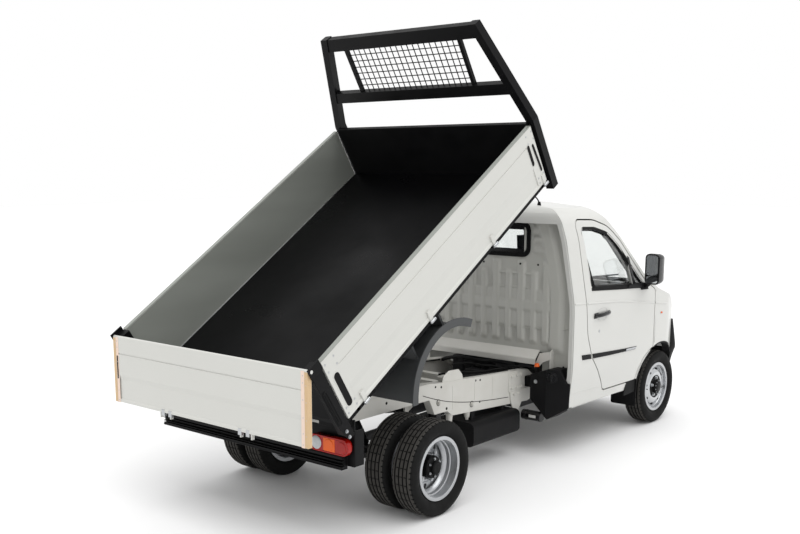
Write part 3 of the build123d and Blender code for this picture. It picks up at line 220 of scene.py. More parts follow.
def slab(bm, outline, axis, low, high):
    """A flat outline in the two other axes, run out along one axis from low to high."""
    order = {"X": (1, 2, 0), "Y": (0, 2, 1), "Z": (0, 1, 2)}[axis]

    def corner(a, b, depth):
        spot = [0, 0, 0]
        for index, value in zip(order, (a, b, depth)):
            spot[index] = value
        return bm.verts.new(spot)

    face = bm.faces.new([corner(a, b, low) for a, b in outline])
    run_out = bmesh.ops.extrude_face_region(bm, geom=[face])
    push = Vector((0, 0, 0))
    push["XYZ".index(axis)] = high - low
    bmesh.ops.translate(bm, verts=corners_of(run_out), vec=push)


def turned(bm, profile, steps):
    """A closed profile of (distance from the X axis, x) turned about the X axis."""
    loop = [bm.verts.new((x, 0, r)) for r, x in profile]
    edges = [bm.edges.new(pair) for pair in zip(loop, loop[1:] + loop[:1])]
    bmesh.ops.spin(bm, geom=loop + edges, cent=(0, 0, 0), axis=(1, 0, 0), angle=2 * math.pi, steps=steps,
                   use_merge=True)


def shown(name, bm, body, material, slot, place=ON_TRUCK, bevel=0.0, smooth=35):
    """Makes the piece: to metres, in its place, normals outwards, eased edges, finish and body."""
    bmesh.ops.transform(bm, matrix=Matrix.Scale(MM, 4) @ place, verts=bm.verts)
    bmesh.ops.remove_doubles(bm, verts=bm.verts, dist=0.00001)
    bmesh.ops.recalc_face_normals(bm, faces=bm.faces)
    mesh = bpy.data.meshes.new(name)
    bm.to_mesh(mesh)
    bm.free()
    piece = bpy.data.objects.new(name, mesh)
    bpy.context.scene.collection.objects.link(piece)
    mesh.materials.append(material)
    eased(piece, bevel, smooth)
    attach(piece, body)
    return piece


def eased(piece, bevel, smooth):
    """Rounds the piece's sharp edges by a bevel in millimetres and shades its curves smooth."""
    piece.data.shade_smooth()
    piece.data.set_sharp_from_angle(angle=math.radians(smooth))
    if bevel:
        made = piece.modifiers.new("eased_edges", "BEVEL")
        made.width = bevel * MM
        made.segments = 2
        made.limit_method = "ANGLE"
        made.angle_limit = math.radians(smooth)
        made.harden_normals = False


def dressed(name, material, bevel=1.5, smooth=30):
    """The CAD node's own form with its faces joined, its edges eased and its finish on."""
    source = frame["nodes"][name]
    bm = bmesh.new()
    bm.from_mesh(source.data)
    bmesh.ops.transform(bm, matrix=source.matrix_world, verts=bm.verts)
    bmesh.ops.remove_doubles(bm, verts=bm.verts, dist=0.00001)
    bmesh.ops.dissolve_limit(bm, angle_limit=math.radians(0.5), verts=bm.verts, edges=bm.edges)
    mesh = bpy.data.meshes.new(name + "_skin")
    bm.to_mesh(mesh)
    bm.free()
    piece = bpy.data.objects.new(name + "_skin", mesh)
    bpy.context.scene.collection.objects.link(piece)
    mesh.materials.append(material)
    eased(piece, bevel, smooth)
    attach(piece, body_of[name])
    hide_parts(name)
    return piece


record = frame["record"]
body_of = {name: body for body, names in record["behaviour"]["bodies"].items() for name in names}
SIDES = (("left", 1), ("right", -1))

FINISH = (
    # node, material, eased edge
    ("cab_shell", CAB_ENAMEL, 2.0), ("front_panel", SMOOTH_ABS, 2.0), ("front_bumper", GRAINED_PP, 3.0),
    ("cab_glass", CLEAR_GLASS, 0.0), ("headlamps", CLEAR_LENS, 2.0), ("seats", SEAT_CLOTH, 12.0),
    ("dashboard", GRAINED_PP, 6.0), ("steering_wheel", GRAINED_PP, 0.0), ("frame_rails", FRAME_POWDER, 1.5),
    ("tipper_frame", FRAME_POWDER, 1.5), ("underrun_beam", BLACK_DIP, 1.5), ("tail_lamps", RED_LENS, 2.0),
    ("engine", CASTING, 6.0), ("driveshaft", CASTING, 1.0), ("fuel_tank", GRAINED_PP, 2.0),
    ("filler_box", GRAINED_PP, 3.0), ("front_axle", CASTING, 2.0), ("rear_axle", CASTING, 1.0),
    ("rear_springs", CASTING, 1.5), ("bed_floor", FLOOR_DIP, 1.5), ("headboard", BLACK_DIP, 2.0),
    # the bed fenders' grey is dust and painted light
    ("rack", BLACK_DIP, 0.0), ("rear_posts", BLACK_DIP, 2.0), ("bed_fenders", GUARD_DUST_AND_PAINTED_LIGHT, 2.0),
    ("side_gate_left", GATE_POWDER, 1.5), ("side_gate_right", GATE_POWDER, 1.5),
    ("tailgate", GATE_POWDER, 1.5), ("cylinder_barrel", BLACK_DIP, 1.0), ("cylinder_stage_1", CHROME, 0.5),
    ("cylinder_stage_2", CHROME, 0.5), ("cylinder_stage_3", CHROME, 0.5),
)
PER_SIDE = (
    ("door_panel_", CAB_ENAMEL, 2.0), ("door_glass_", CLEAR_GLASS, 0.0),
    ("knuckle_", CASTING, 1.0), ("front_rim_", WHEEL_SILVER, 1.0), ("rear_rims_", WHEEL_SILVER, 1.0),
)
# the gates' shallow ledges stay crisp: their shading breaks at 6 degrees
for name, material, bevel in FINISH:
    dressed(name, material, bevel, smooth=6 if "gate" in name else 30)
for side, _ in SIDES:
    for name, material, bevel in PER_SIDE:
        dressed(name + side, material, bevel)


# Tyres

TYRE_R = 298
GROOVES = (-44, -15, 15, 44)


def tyre_profile():
    """Outer side of one tyre from bead to bead, with four grooves round the crown."""
    flank = [(188, 60), (202, 60), (212, 70), (226, 80), (245, 84.6), (262, 84), (276, 80), (286, 74),
             (293, 68)]
    crown = [(296.5, 60)]
    for middle in reversed(GROOVES):
        crown += [(297.98, middle + 5), (290, middle + 3), (290, middle - 3), (297.98, middle - 5)]
    crown += [(296.5, -60)]
    return flank + crown + [(r, -x) for r, x in reversed(flank)]


def tyre(name, body, node_name, middles, y):
    """One tyre, or a pair side by side, with cut blocks in its tread and shoulders."""
    bm = bmesh.new()
    steps = 216
    turned(bm, tyre_profile(), steps)
    bm.normal_update()
    bm.faces.ensure_lookup_table()
    cuts = []
    for face in bm.faces:
        c = face.calc_center_median()
        reach = math.hypot(c.y, c.z)
        turn = int(round(math.degrees(math.atan2(c.z, c.y)) / (360 / steps) - 0.5)) % steps
        shoulder = 283 < reach < 297.5 and 58 < abs(c.x) < 78
        crown = reach > 297 and abs(c.x) < 40
        if (shoulder and turn % 4 == 0) or (crown and turn % 6 == 0):
            cuts.append(face)
    bmesh.ops.inset_individual(bm, faces=cuts, thickness=1.2, depth=-4.0)
    whole = bm.verts[:] + bm.edges[:] + bm.faces[:]
    for middle in middles[:-1]:
        twin = bmesh.ops.duplicate(bm, geom=whole)
        bmesh.ops.translate(bm, verts=corners_of(twin), vec=(middle - middles[-1], 0, 0))
    bmesh.ops.translate(bm, verts=bm.verts, vec=(middles[-1], y, TYRE_R))
    made = shown(name, bm, body, TYRE_RUBBER, "tyre_rubber", smooth=28)
    # faces beyond 294.5 mm from the axle, the ribs' outer faces, take the lighter grey
    made.data.materials.append(TREAD_RUBBER)
    for face in made.data.polygons:
        spot = face.center
        if math.hypot(spot.y / MM - y, spot.z / MM - TYRE_R) > 294.5:
            face.material_index = 1
    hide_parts(node_name)


for side, sign in SIDES:
    tyre("tyre_front_" + side, "front_wheel_" + side, "front_tyre_" + side, (715 * sign,), FRONT_Y)
    tyre("tyres_rear_" + side, "rear_wheels_" + side, "rear_tyres_" + side, (757 * sign, 542 * sign), REAR_Y)


# Ways to place detail on the truck

# the two axles' places along the truck, short because most places start from one of them
F = FRONT_Y
R = REAR_Y
CAB_TAIL = F + 1350
BED_FRONT = -2188
BED_HALF = 846


def skin_of(*names):
    """The outer surface of CAD nodes as something that rays can be cast on."""
    bm = bmesh.new()
    for name in names:
        part = bmesh.new()
        part.from_mesh(frame["nodes"][name].data)
        bmesh.ops.transform(part, matrix=frame["nodes"][name].matrix_world, verts=part.verts)
        mesh = bpy.data.meshes.new("rays")
        part.to_mesh(mesh)
        part.free()
        bm.from_mesh(mesh)
        bpy.data.meshes.remove(mesh)
    tree = BVHTree.FromBMesh(bm)
    bm.free()
    return tree


CAB_SKIN = skin_of("cab_shell", "door_panel_left", "front_bumper", "front_panel", "headlamps", "cab_glass")


def skin_x(y, z):
    """Half width of the cab's side, or of what is solid near by where there is a gap."""
    for spot, height in ((y, z), (y, z + 70), (y, z - 70), (CAB_TAIL, z)):
        hit = CAB_SKIN.ray_cast(Vector((1.2, spot * MM, height * MM)), Vector((-1, 0, 0)))[0]
        if hit and hit.x > 0.55:
            return hit.x / MM
    return 820


def skin_y(x, z):
    """How far forward the cab's nose reaches at a place."""
    hit = CAB_SKIN.ray_cast(Vector((x * MM, -3, z * MM)), Vector((0, 1, 0)))[0]
    return hit.y / MM if hit else F - 470


def rounded(corners, steps=6):
    """Corners (a, b, radius) as a closed line with a true arc at each of them."""
    line = []
    count = len(corners)
    for i, (a, b, radius) in enumerate(corners):
        here = Vector((a, b))
        before = Vector(corners[i - 1][:2]) - here
        after = Vector(corners[(i + 1) % count][:2]) - here
        if not radius:
            line.append(tuple(here))
            continue
        u, v = before.normalized(), after.normalized()
        half = u.angle(v) / 2
        reach = min(radius / math.tan(half), 0.49 * before.length, 0.49 * after.length)
        size = reach * math.tan(half)
        middle = here + (u + v).normalized() * (size / math.sin(half))
        start = here + u * reach - middle
        sweep = start.angle_signed(here + v * reach - middle)
        for step in range(steps + 1):
            turn = Matrix.Rotation(-sweep * step / steps, 2)
            line.append(tuple(middle + turn @ start))
    return line


def rounded_box(a0, a1, b0, b1, radius, steps=6):
    """An upright rectangle with four equal round corners."""
    return rounded([(a0, b0, radius), (a1, b0, radius), (a1, b1, radius), (a0, b1, radius)], steps)


def grown(line, out):
    """A closed line moved outwards."""
    area = sum(a[0] * b[1] - b[0] * a[1] for a, b in zip(line, line[1:] + line[:1]))
    side = 1 if area > 0 else -1
    moved = []
    for i, point in enumerate(line):
        before, here, after = Vector(line[i - 1]), Vector(point), Vector(line[(i + 1) % len(line)])
        u, v = (here - before).normalized(), (after - here).normalized()
        normal = Vector((u.y + v.y, -u.x - v.x))
        if normal.length < 1e-6:
            normal = Vector((u.y, -u.x))
        normal.normalize()
        stretch = max(0.5, normal.dot(Vector((u.y, -u.x))))
        moved.append(tuple(here + normal * (side * out / stretch)))
    return moved


def shell_of(bm, loops, closed=False):
    """Joins loops of equally many points into one skin, capped at both ends unless it closes on itself."""
    rows = [[bm.verts.new(p) for p in loop] for loop in loops]
    pairs = list(zip(rows, rows[1:])) + ([(rows[-1], rows[0])] if closed else [])
    for low, high in pairs:
        for i in range(len(low)):
            j = (i + 1) % len(low)
            bm.faces.new((low[i], low[j], high[j], high[i]))
    if not closed:
        bm.faces.new(list(reversed(rows[0])))
        bm.faces.new(rows[-1])


def ring(bm, outer, inner, place):
    """A frame between two outlines; place(a, b, side) gives its low (0) and high (1) points."""
    loops = []
    for line, side in ((outer, 0), (outer, 1), (inner, 1), (inner, 0)):
        loops.append([place(a, b, side) for a, b in line])
    shell_of(bm, loops, closed=True)


def on_side(low, high):
    """Points on the cab's left side, from low to high out of its skin."""
    return lambda y, z, side: (skin_x(y, z) + (high if side else low), y, z)


def on_back(low, high):
    """Points on a plane that faces back."""
    return lambda x, z, side: (x, high if side else low, z)


def beside(low, high):
    """Points on an upright plane that faces the side."""
    return lambda y, z, side: (high if side else low, y, z)


def patch(bm, line, place):
    """A plate with one outline, from place(.., 0) to place(.., 1)."""
    shell_of(bm, [[place(a, b, side) for a, b in line] for side in (0, 1)])


def slot_line(a0, b0, a1, b1, width):
    """A long hole's outline with round ends."""
    run = Vector((a1 - a0, b1 - b0)).normalized()
    across = Vector((-run.y, run.x)) * (width / 2)
    line = []
    for centre, start in ((Vector((a1, b1)), -1), (Vector((a0, b0)), 1)):
        for step in range(9):
            line.append(tuple(centre + Matrix.Rotation(math.pi * step / 8, 2) @ (across * start)))
    return line


def pipe(bm, points, radius, sides=12):
    """A round bar or hose along a smooth line through its points."""
    line = bpy.data.curves.new("line", "CURVE")
    line.dimensions = "3D"
    line.bevel_depth = radius
    line.bevel_resolution = max(1, sides // 4 - 1)
    line.use_fill_caps = True
    line.resolution_u = 6
    run = line.splines.new("NURBS")
    run.points.add(len(points) - 1)
    for point, spot in zip(run.points, points):
        point.co = (*spot, 1)
    run.order_u = min(3, len(points))
    run.use_endpoint_u = True
    holder = bpy.data.objects.new("line", line)
    bpy.context.scene.collection.objects.link(holder)
    mesh = bpy.data.meshes.new_from_object(holder.evaluated_get(bpy.context.evaluated_depsgraph_get()))
    bm.from_mesh(mesh)
    bpy.data.objects.remove(holder)
    bpy.data.meshes.remove(mesh)


def nut(bm, spot, axis, width=17, height=9, washer=True):
    """A hexagon nut or bolt head on its washer, standing up along an axis."""
    spot, axis = Vector(spot), Vector(axis).normalized()
    if washer:
        rod(bm, width * 0.72, spot - axis, spot + axis * 2, 20)
    rod(bm, width / math.sqrt(3), spot + axis * 1.5, spot + axis * height, 6)
    rod(bm, width * 0.3, spot + axis * 2, spot + axis * (height + 3), 12)


def dome(bm, radius, spot, axis, height=None, sides=20):
    """A low round head."""
    spot, axis = Vector(spot), Vector(axis).normalized()
    height = height or radius * 0.45
    rod(bm, radius, spot - axis, spot + axis * height * 0.5, sides)
    rod(bm, radius, spot + axis * height * 0.5, spot + axis * height, sides, end_radius=radius * 0.62)


def both(name, make, body, material, slot, **settings):
    """The same piece on the left and mirrored on the right, each on its side's own body where the body's
    name holds SIDE.
    """
    for side, sign in SIDES:
        bm = bmesh.new()
        make(bm)
        if sign < 0:
            bmesh.ops.scale(bm, verts=bm.verts, vec=(-1, 1, 1))
        shown(name + "_" + side, bm, body.replace("SIDE", side), material, slot, **settings)


def one(name, make, body, material, slot, **settings):
    """A piece that the truck has once."""
    bm = bmesh.new()
    make(bm)
    shown(name, bm, body, material, slot, **settings)


# Gates and corner posts


# a side gate's slots: one end (y, z), the other end, and the width
GATE_SLOTS = ((-2099, 330, -2099, 210, 30), (-2150, 314, -2164, 130, 24), (60, 292, 60, 110, 46))
# the line of a side gate's hinge pins
GATE_PIN_X = 856
GATE_PIN_Z = 24


def gate_slots(bm):
    # the slots are not cut: black patches in their outline stand for their shaded insides as painted shade
    for slot in GATE_SLOTS:
        patch(bm, slot_line(*slot), beside(BED_HALF - 3, BED_HALF + 0.6))


def gate_slot_lips(bm):
    for slot in GATE_SLOTS:
        line = slot_line(*slot)
        ring(bm, grown(line, 4), line, beside(BED_HALF - 2, BED_HALF + 2))


def gate_rivets(bm):
    for y in (96, 20, -2110, -2178):
        for z in (60, 96, 350, 402):
            dome(bm, 6, (BED_HALF, y, z), (1, 0, 0))


def gate_liner(bm):
    block(bm, 815.6, 818.4, BED_FRONT + 6, 108, 74, 431)


def gate_cap(bm):
    block(bm, 816.4, BED_HALF + 0.8, BED_FRONT + 2, 112, 433.5, 438.5)


def gate_straps(bm):
    """Zinc sleeves, ears and pin heads of the four hinges."""
    for share in (0.985, 0.677, 0.3364, 0.0197):
        y = BED_FRONT * share
        for start, end in ((-14.6, 14.6), (-23.6, -16.4), (16.4, 23.6)):
            rod(bm, 9.2, (GATE_PIN_X, y + start, GATE_PIN_Z), (GATE_PIN_X, y + end, GATE_PIN_Z))
        for side in (-1, 1):
            dome(bm, 6.5, (GATE_PIN_X, y + 24 * side, GATE_PIN_Z), (0, side, 0))


both("gate_slots", gate_slots, "side_gate_SIDE", SEAL_RUBBER, "trim_black", place=ON_BED)
both("gate_slot_lips", gate_slot_lips, "side_gate_SIDE", GATE_POWDER, "bed_paint", place=ON_BED, bevel=0.8)
both("gate_rivets", gate_rivets, "side_gate_SIDE", ZINC, "rod_chrome", place=ON_BED)
both("gate_liner", gate_liner, "side_gate_SIDE", BRUSHED_SHEET, "bed_paint", place=ON_BED)
both("gate_cap", gate_cap, "side_gate_SIDE", BRUSHED_SHEET, "bed_paint", place=ON_BED, bevel=1)
both("gate_hinges", gate_straps, "side_gate_SIDE", ZINC, "rod_chrome", place=ON_BED, bevel=0.6)


def floor_edge(bm):
    block(bm, 806, 810.5, BED_FRONT + 6, 104, 68, 73)


both("floor_edge_strip", floor_edge, "bed", ZINC, "rod_chrome", place=ON_BED, bevel=0.8)


# the corner post's slot: its upper end (y, z), its lower end, and its width
POST_SLOT = (181, 268, 176, 58, 22)


def post_plate(bm):
    """Outer plate of the corner post, whole, with no slot cut through it."""
    corners = [(123, -74), (170, -74), (186, -30), (203, 60), (206, 400), (196, 434), (123, 434)]
    spine = rounded([(y, z, 8) for y, z in corners], 4)
    patch(bm, spine, beside(838.3, 843.8))


def post_slot_lip(bm):
    line = slot_line(*POST_SLOT)
    ring(bm, grown(line, 6), line, beside(843, 847))


def post_slot(bm):
    # the slot is not cut: both black patches stand for its shaded depth as painted shade
    patch(bm, slot_line(*POST_SLOT), beside(842, 844.4))
    patch(bm, slot_line(184, 262, 180, 74, 5), beside(843, 847))


def post_bolts(bm):
    for y, z in ((164, -14), (163, -56)):
        nut(bm, (844, y, z), (1, 0, 0), 15, 7)


both("post_plate", post_plate, "bed", BLACK_DIP, "black_coat", place=ON_BED, bevel=1.2)
both("post_slot_lip", post_slot_lip, "bed", BLACK_DIP, "black_coat", place=ON_BED, bevel=1)
both("post_slot", post_slot, "bed", SEAL_RUBBER, "trim_black", place=ON_BED)
both("post_bolts", post_bolts, "bed", ZINC, "rod_chrome", place=ON_BED)


# Tailgate, in axes through its pins


def end_strip(bm):
    slab(bm, [(812, 14.2), (812, 16), (835.4, 16), (835.4, -13), (833.6, -13), (833.6, 14.2)], "Z", -405, -2)


def end_fold(bm):
    block(bm, 786, 811, 14, 15.4, -407, 3)


def end_screws(bm):
    for z in (-390, -330, -245, -150, -60, -22):
        dome(bm, 3.6, (799, 15, z), (0, 1, 0))
        dome(bm, 2.6, (823, 15.6, z - 12), (0, 1, 0))


def tail_slot(bm):
    # the slot is not cut: a black patch in its outline stands for its shaded inside as painted shade
    patch(bm, slot_line(799, -117, 799, -250, 12), on_back(14, 16.4))


def tail_lugs(bm):
    for x in (305, 369):
        for side in (-1, 1):
            block(bm, x * side - 9, x * side + 9, -8, 10, -426, -401)
            block(bm, x * side - 14, x * side + 14, 8, 15, -424, -385)


both("tailgate_edge_strip", end_strip, "tailgate", TAN_STRIP, "bed_paint", place=ON_TAILGATE, bevel=0.6)
both("tailgate_end_fold", end_fold, "tailgate", PEACH_STRIP, "bed_paint", place=ON_TAILGATE, bevel=0.6)
both("tailgate_end_screws", end_screws, "tailgate", ZINC, "rod_chrome", place=ON_TAILGATE)
one("tailgate_left_slot", tail_slot, "tailgate", SEAL_RUBBER, "trim_black", place=ON_TAILGATE)
one("tailgate_lugs", tail_lugs, "tailgate", ZINC, "rod_chrome", place=ON_TAILGATE, bevel=1.5)


# Tail lamps and the beam under the bed

LAMP_FACE = R + 826
LAMP_Z = 597


def lamp_disc(bm, x, radius, start, end, sides, end_radius=None):
    """A round part of the lamp, from start to end out of its face."""
    rod(bm, radius, (x, LAMP_FACE + start, LAMP_Z), (x, LAMP_FACE + end, LAMP_Z), sides, end_radius)


def lamp_rim(bm):
    line = rounded_box(528, 822, 553, 641, 43, 8)
    ring(bm, grown(line, 3), grown(line, -5), on_back(R + 800, LAMP_FACE + 3))


def lamp_red(bm):
    line = rounded([(724, 560, 4), (816, 560, 36), (816, 634, 36), (724, 634, 4)], 8)
    patch(bm, line, on_back(LAMP_FACE - 3, LAMP_FACE + 1.5))
    lamp_disc(bm, 774, 33, 0, 4.5, 40, 30)


def lamp_amber(bm):
    line = rounded_box(636, 722, 560, 634, 4, 4)
    patch(bm, line, on_back(LAMP_FACE - 3, LAMP_FACE + 1.5))
    lamp_disc(bm, 680, 35, 0, 4.5, 40, 32)


def lamp_clear(bm):
    lamp_disc(bm, 584, 38, -3, 3, 48)
    lamp_disc(bm, 584, 38, 3, 8, 48, 28)


def lamp_bowl(bm):
    lamp_disc(bm, 584, 41, -2, 1.5, 48)


both("tail_lamp_rim", lamp_rim, "chassis", RED_LENS, "lamp_red", bevel=1.5)
both("tail_lamp_red", lamp_red, "chassis", RED_LENS, "lamp_red", bevel=1)
both("tail_lamp_amber", lamp_amber, "chassis", AMBER_LENS, "lamp_red", bevel=1)
both("tail_lamp_bowl", lamp_bowl, "chassis", RED_LENS, "lamp_red", bevel=1)
both("tail_lamp_clear", lamp_clear, "chassis", FROSTED_LENS, "lamp_clear", bevel=1)


def lamp_panel(bm):
    """The black panel that carries the lamp, up to the bed's edge, with two pressed lines."""
    block(bm, 560, 826, R + 771, R + 781, 686, 752)
    block(bm, 640, 820, R + 780, R + 782, 713, 716)
    block(bm, 640, 820, R + 780, R + 782, 729, 732)
    block(bm, 820, 826, R + 700, R + 781, 486, 690)


def beam_lines(bm):
    for z in (475, 499, 519, 543):
        block(bm, -776, 776, R + 809, R + 832, z - 1.5, z + 1.5)


def beam_bolts(bm):
    for x in (-392, -348, 348, 392):
        for z in (556, 600):
            nut(bm, (x, R + 781, z), (0, 1, 0), 15, 8)


def rear_bar(bm):
    block(bm, -401, 401, R + 689, R + 761, 690.4, 721.5)
    for x0, x1 in ((-401.2, -338.8), (338.8, 401.2)):
        block(bm, x0, x1, R + 640, R + 772, 690.5, 731)
        block(bm, x0, x1, R + 786, R + 801, 579.4, 690.4)


one("tipper_rear_bar", rear_bar, "chassis", BLACK_DIP, "black_coat", bevel=1.5)
both("lamp_panel", lamp_panel, "chassis", BLACK_DIP, "black_coat", bevel=1)
one("beam_lines", beam_lines, "chassis", BLACK_DIP, "black_coat", bevel=0.7)
one("beam_bolts", beam_bolts, "chassis", ZINC, "rod_chrome")


# Wheels


def about_axle(bm, y):
    """Moves what was turned about the X axis to the wheels' axle."""
    bmesh.ops.translate(bm, verts=bm.verts, vec=(0, y, TYRE_R))


def around(count, radius, x, start=0.0):
    """Places evenly round the axle."""
    for i in range(count):
        turn = start + 2 * math.pi * i / count
        yield (x, radius * math.cos(turn), radius * math.sin(turn))


def front_dish(bm):
    """Stepped outer part of the front wheel."""
    turned(bm, [(185, 764), (189, 768), (180, 765), (174, 752), (164, 744), (156, 743), (156, 737),
                (176, 742)], 96)
    about_axle(bm, F)


def front_cap(bm):
    """Polished, crowned centre of the front wheel."""
    turned(bm, [(158, 744), (152, 756), (138, 768), (120, 775), (104, 777), (94, 774), (90, 766),
                (90, 742)], 96)
    about_axle(bm, F)


def front_cap_holes(bm):
    # the holes are not cut: black plugs in the cap stand for their shaded depth as painted shade
    for x, y, z in around(8, 143, 758, 0.2):
        turn = math.atan2(z, y)
        away = Vector((0.75, 0.66 * math.cos(turn), 0.66 * math.sin(turn)))
        rod(bm, 11, Vector((x, y, z)), Vector((x, y, z)) + away * 9, 20)
    about_axle(bm, F)


def front_hub(bm):
    turned(bm, [(91, 742), (91, 770), (84, 776), (58, 778), (54, 796), (44, 803), (2, 804), (2, 742)], 60)
    about_axle(bm, F)


def front_nuts(bm):
    for x, y, z in around(5, 74, 776, 0.3):
        nut(bm, (x, y, z), (1, 0, 0), 20, 13)
    for x, y, z in around(10, 48, 799, 0.3):
        nut(bm, (x, y, z), (1, 0, 0), 7, 3, washer=False)
    about_axle(bm, F)


def rear_dish(bm):
    """The deep dish of the outer rear wheel: stepped cone from the flange to the disc."""
    turned(bm, [(188, 820), (190, 824), (184.5, 823), (181, 813), (182, 801), (176, 797), (174.5, 785),
                (176, 775), (169, 771), (167, 757), (168, 748), (158, 742), (148, 724), (152, 718),
                (172, 736), (182, 770), (187, 806)], 96)
    turned(bm, [(104, 709), (107, 716), (98, 724), (86, 727), (84, 709)], 72)
    about_axle(bm, R)


def rear_hub(bm):
    turned(bm, [(70, 709), (70, 772), (64, 780), (44, 784), (42, 800), (34, 806), (2, 807), (2, 709)], 60)
    about_axle(bm, R)


def rear_nuts(bm):
    for x, y, z in around(6, 95, 722, 0.2):
        nut(bm, (x, y, z), (1, 0, 0), 24, 20)
    for x, y, z in around(6, 54, 783, 0.5):
        nut(bm, (x, y, z), (1, 0, 0), 11, 6)
    about_axle(bm, R)


def valve(bm, x, radius, y):
    rod(bm, 3.2, (x - 16, radius, 0), (x + 12, radius + 2, 0), 12)
    rod(bm, 4.4, (x + 10, radius + 2, 0), (x + 18, radius + 2.5, 0), 12)
    about_axle(bm, y)


both("front_wheel_steps", front_dish, "front_wheel_SIDE", WHEEL_SILVER, "wheel_silver")
both("front_wheel_cap", front_cap, "front_wheel_SIDE", POLISHED_CAP, "wheel_silver")
both("front_wheel_holes", front_cap_holes, "front_wheel_SIDE", SEAL_RUBBER, "trim_black")
both("front_wheel_hub", front_hub, "front_wheel_SIDE", BLACK_DIP, "cast_dark")
both("front_wheel_nuts", front_nuts, "front_wheel_SIDE", ZINC, "rod_chrome")
both("rear_wheel_steps", rear_dish, "rear_wheels_SIDE", WHEEL_SILVER, "wheel_silver")
both("rear_wheel_hub", rear_hub, "rear_wheels_SIDE", BLACK_DIP, "cast_dark")
both("rear_wheel_nuts", rear_nuts, "rear_wheels_SIDE", ZINC, "rod_chrome")
both("front_valve", lambda bm: valve(bm, 764, 150, F), "front_wheel_SIDE", SEAL_RUBBER, "trim_black")
both("rear_valve", lambda bm: valve(bm, 730, 140, R), "rear_wheels_SIDE", SEAL_RUBBER, "trim_black")


# Cab: sides

# outlines of the door and its glass: y from the front axle, z and the corner's radius
DOOR = ((1262, 1712, 60), (1000, 1700, 300), (815, 1648, 260), (660, 1530, 500), (530, 1398, 600),
        (330, 1200, 500), (176, 1122, 30), (176, 660, 20), (240, 640, 0), (330, 590, 120), (400, 500, 120),
        (424, 430, 14), (940, 436, 40), (990, 520, 200), (1060, 610, 0), (1160, 720, 160), (1235, 900, 300),
        (1262, 1150, 600))
DOOR_WINDOW = ((1205, 1655, 40), (1010, 1645, 260), (840, 1602, 220), (690, 1490, 400), (548, 1348, 500),
               (420, 1225, 300), (345, 1172, 12), (1160, 1224, 30))
# the side repeater's two ends (y, z) and its height
REPEATER = (F + 42, 922, F + 58, 924, 16)
# the wheel arch's centre along the truck
ARCH_Y = F + 30


def from_axle(corners):
    """An outline whose y counts from the front axle, with its corners rounded."""
    return rounded([(F + y, z, r) for y, z, r in corners])


def along(points):
    """Places (y from the front axle, z) as (y, z)."""
    return [(F + y, z) for y, z in points]


def side_line(bm, points, radius, out):
    """A bead along the cab's side through (y from the front axle, z)."""
    pipe(bm, [(skin_x(F + y, z) + out, F + y, z) for y, z in points], radius, 12)


def door_seal(bm):
    line = from_axle(DOOR)
    ring(bm, grown(line, 17), grown(line, -7), on_side(-56, -42.4))


def window_gasket(bm):
    line = from_axle(DOOR_WINDOW)
    ring(bm, grown(line, 9), grown(line, -12), on_side(-9, 2))


def window_dark_edge(bm):
    line = from_axle(DOOR_WINDOW)
    ring(bm, grown(line, -11), grown(line, -24), on_side(-8.5, -5))


def window_bar(bm):
    patch(bm, along(((494, 1172), (526, 1178), (584, 1414), (552, 1402))), on_side(-3, 2.6))


def quarter_pane(bm):
    """The sail panel ahead of the bar, black, with the mirror's foot below it."""
    patch(bm, along(((342, 1150), (640, 1170), (620, 1196), (500, 1202), (360, 1182))), on_side(-3, 6))


def belt_seal(bm):
    line = along(((345, 1152), (760, 1176), (1172, 1204), (1172, 1226), (760, 1198), (345, 1172)))
    patch(bm, line, on_side(-3, 4))


def mirror_arm(bm):
    y = F + 350
    pipe(bm, [(skin_x(y, 1165) - 2, y, 1165), (845, y + 10, 1180), (868, y + 26, 1210), (884, y + 40, 1232)],
         21)
    patch(bm, along(((310, 1138), (420, 1142), (400, 1196), (330, 1190))), on_side(-2, 12))


def mirror_housing(bm):
    """Housing that narrows towards the front."""
    loops = []
    for y, out in ((500, 0), (470, 1), (430, -3), (395, -12), (375, -26), (366, -44)):
        line = rounded([(880, 1197, 34), (1000, 1197, 34), (1000, 1433, 40), (880, 1433, 34)], 8)
        loops.append([(x, F + y, z) for x, z in grown(line, out - 1)])
    shell_of(bm, loops)


def mirror_pane(bm):
    for low, high, below, above in ((1268, 1420, 18, 24), (1210, 1260, 14, 14)):
        line = rounded([(893, low, below), (985, low, below), (985, high, above), (893, high, above)])
        patch(bm, line, on_back(F + 499, F + 502))


def mirror_rim(bm):
    line = rounded([(884, 1201, 26), (994, 1201, 26), (994, 1430, 30), (884, 1430, 30)], 8)
    ring(bm, line, grown(line, -8), on_back(F + 495, F + 506))


def handle_cup(bm):
    line = from_axle(((965, 976, 34), (1085, 976, 34), (1100, 1064, 34), (965, 1064, 34)))
    ring(bm, grown(line, 6), line, on_side(-2, 1.6))
    patch(bm, grown(line, -0.4), on_side(-2, 0.5))


def handle(bm):
    x = skin_x(F + 1030, 1020)
    pipe(bm, [(x - 4, F + 922, 1024), (x + 12, F + 946, 1024), (x + 20, F + 1030, 1021),
              (x + 16, F + 1100, 1019), (x - 2, F + 1150, 1018)], 15, 16)
    pipe(bm, [(x - 6, F + 1096, 1019), (x + 2, F + 1124, 1018), (x - 6, F + 1150, 1018)], 21, 16)


def lock(bm):
    x = skin_x(F + 1067, 898)
    rod(bm, 11, (x - 2, F + 1067, 898), (x + 1.6, F + 1067, 898), 28)
    rod(bm, 7, (x, F + 1067, 898), (x + 2.6, F + 1067, 898), 24)


def strip_on_door(bm):
    line = along(((468, 704), (486, 684), (640, 687), (900, 695), (1146, 706), (1162, 741), (1100, 737),
                  (900, 725), (640, 710)))
    patch(bm, line, on_side(-2, 6))


